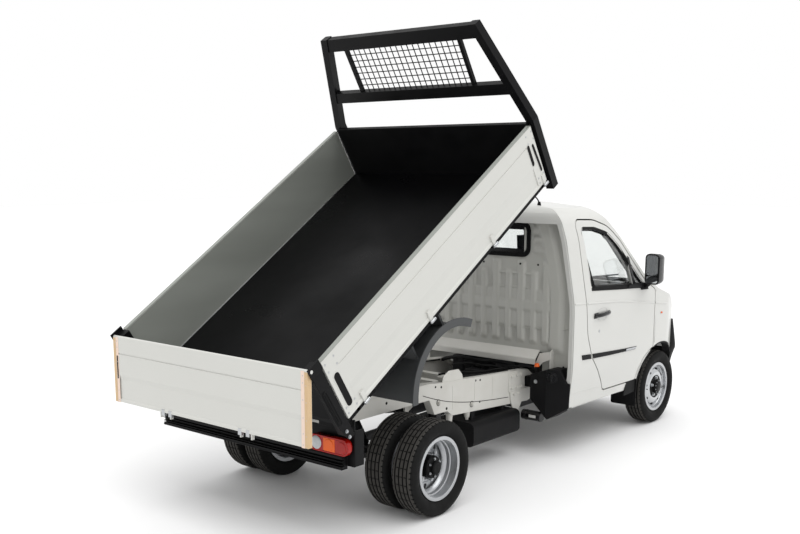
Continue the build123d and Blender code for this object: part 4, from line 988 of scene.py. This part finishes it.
def strip_tip(bm):
    patch(bm, along(((474, 702), (487, 687), (640, 690), (640, 706))), on_side(5, 7))


def strip_on_corner(bm):
    patch(bm, along(((1178, 708), (1306, 716), (1315, 752), (1192, 744))), on_side(-2, 6))


def repeater(bm):
    patch(bm, slot_line(*REPEATER), on_side(-2, 5))


def repeater_rim(bm):
    line = slot_line(*REPEATER)
    ring(bm, grown(line, 3), line, on_side(-2, 3))


def door_creases(bm):
    side_line(bm, [(1248, 1121), (1000, 1104), (780, 1090), (480, 1054), (190, 1019)], 11, -5)


def corner_crease(bm):
    side_line(bm, [(1276, 1124), (1350, 1130), (1425, 1133)], 11, -5)
    side_line(bm, [(164, 1016), (80, 1004), (-34, 989)], 11, -5)
    side_line(bm, [(1418, 486), (1200, 476), (1010, 470)], 3.4, -1.4)
    side_line(bm, [(930, 420), (700, 417), (440, 414)], 3.4, -1.4)


def fender_seam(bm):
    side_line(bm, [(158, 1116), (156, 900), (150, 690)], 1.8, -0.8)


def arch_band(bm):
    """The black lip inside the wheel arch."""
    loops = []
    for step in range(49):
        turn = math.radians(-14 + 208 * step / 48)
        spots = []
        for radius, out in ((383.5, 0.8), (370, 0.8), (370, -60), (383.5, -60)):
            y, z = ARCH_Y + radius * math.cos(turn), TYRE_R + radius * math.sin(turn)
            spots.append((min(815, skin_x(y, max(z, 380))) + out, y, z))
        loops.append(spots)
    shell_of(bm, loops)


def front_corner(bm):
    """Black bumper corner that follows the wheel arch up and stands out past the wing."""
    rows = []
    for step in range(17):
        z = 350 + 480 * step / 16
        narrow = max(0.0, (z - 600) / 230)
        arch = ARCH_Y - 3 - math.sqrt(max(0.0, 384 ** 2 - (z - TYRE_R) ** 2))
        back = min(arch, F - 215 - 20 * narrow)
        front = max(F - 415, back - 150 + 100 * narrow)
        skin = [Vector((skin_x(y, z), y)) for y in (back + (front - back) * i / 8 for i in range(9))]
        spots = []
        for i, here in enumerate(skin):
            run = skin[min(i + 1, 8)] - skin[max(i - 1, 0)]
            away = Vector((-run.y, run.x)).normalized()
            out = 4 + 42 * math.sin(math.pi * i / 8) * (1 - 0.8 * narrow)
            for reach in ((-6, out) if i == 0 else (out, -6) if i == 8 else (out,)):
                spots.append((*(here + away * reach), z))
        rows.append(spots)
    shell_of(bm, rows)


def mud_flap(bm):
    flap = rounded([(590, 208, 16), (802, 208, 16), (806, 430, 8), (590, 440, 8)])
    patch(bm, flap, on_back(F + 404, F + 410))
    stay = along(((406, 432), (560, 430), (596, 336), (590, 322), (420, 330), (408, 350)))
    patch(bm, stay, beside(786, 796))


both("door_seal", door_seal, "chassis", SEAL_RUBBER, "trim_black")
both("window_gasket", window_gasket, "door_SIDE", SEAL_RUBBER, "trim_black", bevel=0.8)
both("window_dark_edge", window_dark_edge, "door_SIDE", SMOOTH_ABS, "trim_black")
both("window_bar", window_bar, "door_SIDE", SMOOTH_ABS, "trim_black", bevel=0.8)
both("quarter_panel", quarter_pane, "door_SIDE", GRAINED_PP, "moulded_black", bevel=2)
both("belt_seal", belt_seal, "door_SIDE", SEAL_RUBBER, "trim_black", bevel=1)
both("mirror_arm", mirror_arm, "door_SIDE", GRAINED_PP, "moulded_black")
both("mirror_housing", mirror_housing, "door_SIDE", SMOOTH_ABS, "moulded_black", smooth=50)
for side, _ in SIDES:
    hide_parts("mirror_" + side)
both("mirror_pane", mirror_pane, "door_SIDE", MIRROR_GLASS, "rod_chrome")
both("mirror_rim", mirror_rim, "door_SIDE", SMOOTH_ABS, "moulded_black", bevel=2)
both("handle_cup", handle_cup, "door_SIDE", CAB_ENAMEL, "cab_paint", bevel=1.2)
both("door_handle", handle, "door_SIDE", SMOOTH_ABS, "moulded_black")
both("door_lock", lock, "door_SIDE", ZINC, "rod_chrome", bevel=0.5)
both("side_strip", strip_on_door, "door_SIDE", GRAINED_PP, "trim_black", bevel=1.6)
both("side_strip_tip", strip_tip, "door_SIDE", ZINC, "rod_chrome", bevel=0.5)
both("side_strip_rear", strip_on_corner, "chassis", GRAINED_PP, "trim_black", bevel=1.6)
both("side_repeater", repeater, "chassis", AMBER_LENS, "lamp_red", bevel=1.5)
both("side_repeater_rim", repeater_rim, "chassis", CAB_ENAMEL, "cab_paint", bevel=0.6)
both("door_crease", door_creases, "door_SIDE", CAB_ENAMEL, "cab_paint")
both("cab_crease", corner_crease, "chassis", CAB_ENAMEL, "cab_paint")
both("fender_seam", fender_seam, "chassis", SEAL_RUBBER, "trim_black")
both("arch_band", arch_band, "chassis", GRAINED_PP, "moulded_black", bevel=1)
both("bumper_corner", front_corner, "chassis", GRAINED_PP, "moulded_black", bevel=2)
both("mud_flap", mud_flap, "chassis", SEAL_RUBBER, "trim_black", bevel=1.5)


# Cab: back panel

# the panel's plain face, the front of its solid, and the spacing of its mesh
WALL_Y = F + 1363
WALL_FRONT = F + 1334
GRID = 8


def bump_of(a, low, high, soft):
    """1 between low and high, falling smoothly to 0 over a soft edge."""
    def step(t):
        t = max(0.0, min(1.0, t))
        return t * t * (3 - 2 * t)
    return step((a - low) / soft + 0.5) * step((high - a) / soft + 0.5)


def wall_relief(x, z):
    """How far the pressed back panel stands out at a place, in millimetres."""
    reach = abs(x)
    rise = 0.0
    # bulge up each side that bends in over the window
    lean = 640 - 110 * max(0.0, (z - 1130) / 520) ** 1.6
    rise = max(rise, 25 * bump_of(reach, lean - 58, lean + 40, 46) * bump_of(z, 770, 1745, 60))
    rise = max(rise, 20 * bump_of(z, 1722, 1762, 30) * bump_of(reach, -10, 520, 60))
    # steps that band the lower half
    rise = max(rise, 9 * bump_of(z, 918, 1205, 26) * bump_of(reach, -10, 600, 30))
    rise = max(rise, 17 * bump_of(z, 1040, 1125, 34) * bump_of(reach, -10, 590, 30))
    # upright channels
    for middle in (0, 110, 220, 330, 440, 545):
        long = middle in (110, 330, 545)
        top = 1405 if long else 1330
        width = 30 if long else 24
        rib = 21 * bump_of(reach, middle - width, middle + width, 24) * bump_of(z, 815, top, 40)
        rise = max(rise, rib)
    # short cross steps beside the window
    for low in (1470, 1550, 1628):
        rise = max(rise, 15 * bump_of(z, low, low + 42, 24) * bump_of(reach, 428, 540, 26))
    # panels between the channels, sunk below the steps
    for middle in (165, 275, 385):
        sink = bump_of(reach, middle - 30, middle + 30, 14) * bump_of(z, 1215, 1310, 18)
        field = bump_of(reach, middle - 40, middle + 40, 14) * bump_of(z, 1205, 1322, 18)
        rise = max(rise, 13 * field - 10 * sink)
    return rise


def back_panel():
    """The pressed back panel of the cab, in place of its plain CAD form, with the window let in."""
    bm = bmesh.new()
    xs = [-800 + GRID * i for i in range(201)]
    zs = [612 + GRID * i for i in range(150)]
    grid = {}
    for x in xs:
        for z in zs:
            edge = skin_x(CAB_TAIL, max(z, 640)) - 44
            in_window = abs(x) < 340 and 1452 < z < 1672
            if abs(x) > edge + 7 or z > 1795 or z < 746 or in_window:
                continue
            spot = max(-edge, min(edge, x))
            grid[x, z] = bm.verts.new((spot, WALL_Y + wall_relief(x, z) * 0.98 - 0.5, z))
    for x in xs[:-1]:
        for z in zs[:-1]:
            corner = [grid.get(k) for k in ((x, z), (x + GRID, z), (x + GRID, z + GRID), (x, z + GRID))]
            if all(corner):
                bm.faces.new(corner)
    for vert in corners_of(bmesh.ops.extrude_face_region(bm, geom=bm.faces[:])):
        vert.co.y = WALL_FRONT
    # the back panel's darker grey is painted shade
    piece = shown("cab_back_panel", bm, "chassis", BACK_PANEL_PAINTED_SHADE, "cab_paint", smooth=50)
    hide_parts("cab_rear_wall")


back_panel()


def back_gasket(bm):
    outer = rounded_box(-400, 400, 1436, 1694, 66, 8)
    inner = rounded_box(-366, 366, 1466, 1666, 44, 8)
    ring(bm, outer, inner, on_back(WALL_Y - 6, WALL_Y + 7))


def back_gasket_lip(bm):
    line = rounded_box(-384, 384, 1450, 1680, 56, 8)
    ring(bm, line, grown(line, -7), on_back(WALL_Y + 3, WALL_Y + 11))


def back_frit(bm):
    line = rounded_box(-370, 370, 1462, 1670, 44, 8)
    ring(bm, line, grown(line, -34), on_back(WALL_Y - 8, WALL_Y - 4))


def back_holes(bm):
    for x, z in ((-327, 1388), (-466, 1387), (10, 1382), (-700, 655), (327, 1388), (466, 1387)):
        depth = WALL_Y + wall_relief(x, z)
        rod(bm, 8, (x, depth - 4, z), (x, depth + 0.8, z), 20)
    for x in (-410, 410):
        dome(bm, 15, (x, WALL_Y + wall_relief(x, 1775) - 2, 1775), (0, 1, 0), 5)


def shelf(bm):
    """The folded shelf under the back panel with its end gussets."""
    slab(bm, [(WALL_Y - 4, 764), (WALL_Y + 58, 704), (WALL_Y + 62, 680), (WALL_Y + 58, 680),
              (WALL_Y + 54, 700), (WALL_Y - 4, 754)], "X", -500, 450)
    slab(bm, [(WALL_Y + 56, 700), (WALL_Y + 62, 700), (WALL_Y + 62, 660), (WALL_Y + 57, 660)], "X",
         -500, 450)
    slab(bm, [(-614, 766), (-526, 746), (-478, 628), (-500, 622), (-556, 680), (-622, 712)], "Y",
         WALL_Y + 40, WALL_Y + 46)
    slab(bm, [(WALL_Y - 2, 600), (WALL_Y + 48, 600), (WALL_Y + 48, 764), (WALL_Y - 2, 790)], "X", -618, -612)


def lower_wall(bm):
    """The panel's skirt beside the shelf, down to the sill, on both sides."""
    block(bm, 520, 770, WALL_Y - 10, WALL_Y - 4, 400, 760)


def wall_seam(bm):
    pipe(bm, [(-776, WALL_Y + 3, 935), (-690, WALL_Y + 4, 932), (-574, WALL_Y + 12, 926),
              (-300, WALL_Y + 12, 919), (229, WALL_Y + 12, 900), (600, WALL_Y + 10, 900),
              (776, WALL_Y + 3, 905)], 3)


def rear_lip(bm):
    """Rolled edge round the back opening of the cab."""
    spots = []
    for z in (372, 500, 640, 900, 1120, 1300, 1500, 1620, 1690):
        spots.append((skin_x(F + 1428, z) - 12, F + 1430, z))
    pipe(bm, spots, 6)


one("back_window_gasket", back_gasket, "chassis", SEAL_RUBBER, "trim_black", bevel=2.5)
one("back_window_lip", back_gasket_lip, "chassis", SEAL_RUBBER, "trim_black", bevel=1.5)
one("back_window_band", back_frit, "chassis", SMOOTH_ABS, "trim_black")
one("back_panel_plugs", back_holes, "chassis", SEAL_RUBBER, "trim_black")
one("back_shelf", shelf, "chassis", FRAME_POWDER, "cab_paint", bevel=1)
# the seam and the skirts carry the back panel's painted shade too
one("back_seam", wall_seam, "chassis", BACK_PANEL_PAINTED_SHADE, "cab_paint")
both("back_skirt", lower_wall, "chassis", BACK_PANEL_PAINTED_SHADE, "cab_paint", bevel=2)
both("cab_rear_lip", rear_lip, "chassis", CAB_ENAMEL, "cab_paint")


def antenna(bm):
    pipe(bm, [(-441, F + 1330, 1830), (-438, F + 1332, 1850), (-400, F + 1345, 1890),
              (-380, F + 1352, 1906)], 4.5)
    rod(bm, 16, (-441, F + 1330, 1812), (-441, F + 1330, 1840), 24, end_radius=9)


one("antenna", antenna, "chassis", SEAL_RUBBER, "trim_black")


# Frame, filler and what lies between the rails

RAIL_FACE = 400
FILLER_BACK = F + 1494


def rail_holes(bm):
    # the holes are not cut: black discs on the rail stand for their shaded insides as painted shade
    for y, z, radius in ((2494, 658, 8), (2431, 647, 8), (2033, 627, 8), (1979, 622, 8), (1980, 466, 8),
                         (2369, 489, 10), (2460, 546, 22), (2077, 467, 22), (3000, 640, 10), (3300, 640, 10),
                         (3600, 640, 10)):
        rod(bm, radius, (RAIL_FACE - 2, F + y, z), (RAIL_FACE + 0.7, F + y, z), 24)


def rail_bolts(bm):
    for y in (1465, 1526, 1587):
        for z in (496, 586):
            nut(bm, (RAIL_FACE + 5, F + y, z), (1, 0, 0), 20, 11)
    for y, z in ((2460, 546), (2077, 467)):
        nut(bm, (RAIL_FACE, F + y, z), (1, 0, 0), 24, 16)
    for y, z in ((1500, 448), (1560, 448)):
        nut(bm, (RAIL_FACE + 9, F + y, z), (1, 0, 0), 18, 10)


def rail_plates(bm):
    block(bm, RAIL_FACE, RAIL_FACE + 5, F + 1436, F + 1616, 470, 602)
    slab(bm, [(F + 1376, 470), (F + 1605, 470), (F + 1596, 400), (F + 1560, 328), (F + 1490, 319),
              (F + 1440, 392)], "X", RAIL_FACE + 1, RAIL_FACE + 9)
    for y in (2301, 2043, 1824, 1623):
        block(bm, RAIL_FACE, RAIL_FACE + 1.6, F + y - 3, F + y + 3, 470, 632)
    slab(bm, [(F + 2169, 640), (F + 2423, 652), (F + 2400, 716), (F + 2340, 744), (F + 2230, 738),
              (F + 2190, 700)], "X", RAIL_FACE - 10, RAIL_FACE - 4)
    block(bm, RAIL_FACE - 62, RAIL_FACE - 8, F + 2200, F + 2400, 700, 706)
    for y in (2212, 2296, 2384):
        block(bm, RAIL_FACE - 60, RAIL_FACE - 8, F + y, F + y + 6, 655, 702)


def rail_weld(bm):
    pipe(bm, [(RAIL_FACE + 0.6, F + y, z) for y, z in ((2630, 622), (2480, 566), (2232, 505), (1900, 458),
                                                      (1620, 436))], 2.2)


def rail_stops(bm):
    """Two bump stops under the rail, ahead of the rear axle."""
    for y in (2095, 2300):
        rod(bm, 26, (372, F + y, 440), (372, F + y, 372), 24, end_radius=18)
        rod(bm, 12, (372, F + y, 374), (372, F + y, 356), 16)


both("rail_holes", rail_holes, "chassis", SEAL_RUBBER, "trim_black")
both("rail_bolts", rail_bolts, "chassis", FRAME_POWDER, "chassis_paint")
both("rail_plates", rail_plates, "chassis", FRAME_POWDER, "chassis_paint", bevel=1)
both("rail_weld", rail_weld, "chassis", CASTING, "cast_dark")
both("rail_stops", rail_stops, "chassis", FRAME_POWDER, "chassis_paint", bevel=1)


def filler_cap(bm):
    axis = Vector((-0.29, 0.957, 0))
    spot = Vector((-681, F + 1482, 594))
    rod(bm, 42, spot - axis * 6, spot + axis * 6, 48)
    rod(bm, 36, spot + axis * 6, spot + axis * 13, 48, end_radius=33)
    rod(bm, 7, spot + axis * 15 + Vector((0, 0, -24)), spot + axis * 15 + Vector((0, 0, 24)), 16)


def filler_ribs(bm):
    pipe(bm, [(-641, FILLER_BACK, 300), (-641, FILLER_BACK, 470), (-641, FILLER_BACK, 640)], 4)
    pipe(bm, [(-520, F + 1495, 440), (-520, F + 1495, 596)], 3)
    pipe(bm, [(-524, FILLER_BACK, 440), (-600, FILLER_BACK, 360), (-648, FILLER_BACK, 306)], 3)


def filler_neck(bm):
    pipe(bm, [(-543, F + 1462, 560), (-543, F + 1468, 640), (-543, F + 1468, 664)], 15)
    pipe(bm, [(-530, F + 1466, 640), (-470, F + 1480, 662), (-410, F + 1500, 648), (-330, F + 1520, 640)], 9)


def canister(bm):
    rod(bm, 37, (-590, F + 1458, 286), (-430, F + 1458, 286), 40)
    rod(bm, 39, (-470, F + 1458, 286), (-456, F + 1458, 286), 40)
    rod(bm, 39, (-582, F + 1458, 286), (-572, F + 1458, 286), 40)


def orange_cap(bm):
    rod(bm, 19, (-543, F + 1468, 658), (-543, F + 1468, 682), 28, end_radius=16)


def filler_bolt(bm):
    nut(bm, (-552, FILLER_BACK, 552), (0, 1, 0), 20, 9)


def canister_label(bm):
    block(bm, -559, -501, FILLER_BACK, F + 1496, 278, 298)


one("filler_cap", filler_cap, "chassis", SMOOTH_ABS, "moulded_black", bevel=1.5)
one("filler_ribs", filler_ribs, "chassis", GRAINED_PP, "moulded_black")
one("filler_neck", filler_neck, "chassis", SEAL_RUBBER, "trim_black")
one("filler_orange_cap", orange_cap, "chassis", ORANGE_NYLON, "lamp_red", bevel=2)
one("filler_bolt", filler_bolt, "chassis", ZINC, "rod_chrome")
one("canister", canister, "chassis", SMOOTH_ABS, "moulded_black", bevel=3)
one("canister_blank_label", canister_label, "chassis", CAB_ENAMEL, "cab_paint", bevel=0.4)


def hoses(bm):
    """Cooling hoses, brake pipes and the loom that cross the frame behind the cab."""
    pipe(bm, [(-330, F + 1440, 640), (-200, F + 1500, 668), (-60, F + 1480, 640), (80, F + 1520, 660),
              (240, F + 1490, 636), (330, F + 1440, 600)], 14)
    pipe(bm, [(-340, F + 1500, 600), (-240, F + 1560, 640), (-120, F + 1540, 620), (0, F + 1600, 640),
              (150, F + 1560, 600)], 10)
    pipe(bm, [(-350, F + 1560, 612), (-352, F + 1760, 630), (-350, F + 1980, 646), (-340, F + 2180, 664)],
         11)
    pipe(bm, [(-338, F + 1540, 628), (-330, F + 1700, 650), (-336, F + 1900, 652), (-300, F + 2100, 690),
              (-200, F + 2200, 670)], 7)
    pipe(bm, [(-80, F + 1420, 560), (-100, F + 1600, 540), (-240, F + 1800, 520), (-260, F + 2100, 540)], 16)
    pipe(bm, [(350, F + 1460, 600), (352, F + 1760, 628), (346, F + 2100, 650)], 10)


def gearbox_top(bm):
    block(bm, -105, 105, F + 1300, F + 1460, 498, 560)
    for x in (-80, 0, 80):
        rod(bm, 12, (x, F + 1380, 556), (x, F + 1380, 580), 20)
    rod(bm, 70, (-190, F + 1350, 560), (-190, F + 1350, 640), 32)
    rod(bm, 46, (190, F + 1420, 520), (190, F + 1420, 650), 32)


def exhaust(bm):
    rod(bm, 62, (210, F + 1620, 338), (210, F + 2040, 338), 40)
    pipe(bm, [(150, F + 1240, 320), (190, F + 1400, 320), (210, F + 1640, 338)], 22)
    pipe(bm, [(210, F + 2030, 338), (210, F + 2260, 350), (230, F + 2380, 400), (240, F + 2480, 430)], 22)


def shock_absorber(bm):
    """Its upper tube over its lower one, from the rail down to the rear axle."""
    top, low = Vector((300, R + 190, 560)), Vector((330, R + 40, 250))
    rod(bm, 26, low.lerp(top, 0.45), top, 24)
    rod(bm, 18, low, low.lerp(top, 0.5), 20)


one("hoses_and_loom", hoses, "chassis", SEAL_RUBBER, "trim_black")
one("gearbox_top", gearbox_top, "chassis", CASTING, "cast_dark", bevel=4)
one("exhaust", exhaust, "chassis", CASTING, "cast_dark")
both("shock_absorbers", shock_absorber, "chassis", BLACK_DIP, "cast_dark", bevel=2)


# Cab: front


def on_nose(low, high):
    return lambda x, z, side: (x, skin_y(x, z) - (high if side else low), z)


def across_nose(bm, z, half, radius, out):
    pipe(bm, [(x, skin_y(x, z) - out, z) for x in [half * (i / 4 - 1) for i in range(9)]], radius)


def grille_slats(bm):
    for z in range(650, 970, 32):
        across_nose(bm, z, 540 if z < 790 else 400, 6, 2)


def nose_intake(bm):
    for z in range(392, 452, 14):
        across_nose(bm, z, 380, 3.5, -3.6)


def nose_plate(bm):
    patch(bm, rounded_box(-260, 260, 588, 698, 8), on_back(F - 477, F - 474))
    for x in (-180, 180):
        block(bm, x - 20, x + 20, F - 475, skin_y(x, 643) + 2, 630, 656)


def fog_lamp(bm):
    y = skin_y(560, 450)
    rod(bm, 46, (560, y + 12, 450), (560, y - 5, 450), 40, end_radius=40)


def fog_lamp_rim(bm):
    y = skin_y(560, 450)
    rod(bm, 58, (560, y + 14, 450), (560, y - 1, 450), 40)


def headlamp_bowls(bm):
    for x, z, radius in ((520, 892, 46), (622, 900, 38)):
        outer, inner = (slot_line(x - 0.5, z, x + 0.5, z, width) for width in (2 * radius, 2 * radius - 9))
        ring(bm, outer, inner, on_nose(-8, 2.2))


def wipers(bm):
    for x0, x1 in ((-60, -560), (330, -130)):
        z0, z1 = 1150, 1236
        y0, y1 = skin_y(x0, z0) - 8, skin_y(x1, z1) - 14
        middle = ((x0 + x1) / 2, skin_y((x0 + x1) / 2, 1200) - 26, 1196)
        pipe(bm, [(x0, y0, z0), middle, (x1, y1, z1)], 6)
        blade = [(x, skin_y(x, 1210) - 9, 1206) for x in (x1 + 210, x1 + 60, x1 - 60, max(-680, x1 - 170))]
        pipe(bm, blade, 5)
        rod(bm, 15, (x0, y0 + 14, z0 - 3), (x0, y0 - 12, z0 + 2), 24)


def screen_border(bm):
    half = [(0, 1167), (702, 1167), (648, 1530), (598, 1643), (0, 1653)]
    line = half + [(-x, z) for x, z in reversed(half) if x]
    fine = []
    for a, b in zip(line, line[1:] + line[:1]):
        count = max(1, int(Vector((b[0] - a[0], b[1] - a[1])).length / 70))
        fine += [(a[0] + (b[0] - a[0]) * i / count, a[1] + (b[1] - a[1]) * i / count) for i in range(count)]
    ring(bm, grown(fine, -4), grown(fine, -34), on_nose(-2, 1.5))


one("grille_slats", grille_slats, "chassis", SMOOTH_ABS, "trim_black")
one("bumper_intake", nose_intake, "chassis", SMOOTH_ABS, "trim_black")
one("front_blank_plate", nose_plate, "chassis", CAB_ENAMEL, "cab_paint", bevel=0.8)
both("fog_lamp", fog_lamp, "chassis", FROSTED_LENS, "lamp_clear", bevel=3)
both("fog_lamp_rim", fog_lamp_rim, "chassis", SMOOTH_ABS, "trim_black", bevel=2)
both("headlamp_rings", headlamp_bowls, "chassis", CHROME, "lamp_clear")
one("wipers", wipers, "chassis", SEAL_RUBBER, "trim_black")
one("windscreen_border", screen_border, "chassis", SMOOTH_ABS, "trim_black")


# Stage, light and camera


def stage():
    """A plain floor of studio paper."""
    bm = bmesh.new()
    bmesh.ops.create_grid(bm, x_segments=1, y_segments=1, size=40)
    mesh = bpy.data.meshes.new("studio_floor")
    bm.to_mesh(mesh)
    bm.free()
    floor = bpy.data.objects.new("studio_floor", mesh)
    bpy.context.scene.collection.objects.link(floor)
    # Seamless white studio paper: pale, dull.
    mesh.materials.append(finish("studio_paper", "#e8e8e8", "#e6e6e6", 0.95, patch=900, grain=3, bump=0.01))


def camera():
    """The photograph's view: turned 221.4 degrees about the truck and looking 10.2 degrees down."""
    azimuth, elevation, roll = (math.radians(a) for a in (221.423, 10.249, -0.244))
    back = Vector((math.sin(azimuth) * math.cos(elevation), -math.cos(azimuth) * math.cos(elevation),
                   math.sin(elevation)))
    right = Vector((math.cos(azimuth), math.sin(azimuth), 0))
    up = back.cross(right)
    across = right * math.cos(roll) + up * math.sin(roll)
    upright = up * math.cos(roll) - right * math.sin(roll)
    data = bpy.data.cameras.new("photo_view")
    data.sensor_width = 36
    data.lens = 46.358
    data.shift_x = 0.0488
    data.shift_y = 0.09935
    made = bpy.data.objects.new("photo_view", data)
    turn = Matrix((across, upright, back)).transposed().to_4x4()
    made.matrix_world = Matrix.Translation((-4.4464, 4.8258 + REAR_Y * MM, 2.1412)) @ turn
    bpy.context.scene.collection.objects.link(made)
    bpy.context.scene.camera = made


def light():
    """White surroundings and one broad, soft lamp overhead."""
    world = bpy.data.worlds.new("white_studio")
    world.use_nodes = True
    backdrop = world.node_tree.nodes["Background"]
    backdrop.inputs["Color"].default_value = (1, 1, 1, 1)
    backdrop.inputs["Strength"].default_value = 1.0
    bpy.context.scene.world = world
    data = bpy.data.lights.new("overhead_diffuser", "SUN")
    data.energy = 1.7
    data.angle = math.radians(70)
    made = bpy.data.objects.new("overhead_diffuser", data)
    made.rotation_euler = Vector((0.30, -0.12, -1)).to_track_quat("-Z", "Y").to_euler()
    bpy.context.scene.collection.objects.link(made)


stage()
light()
camera()
bpy.context.scene.view_settings.view_transform = "Standard"
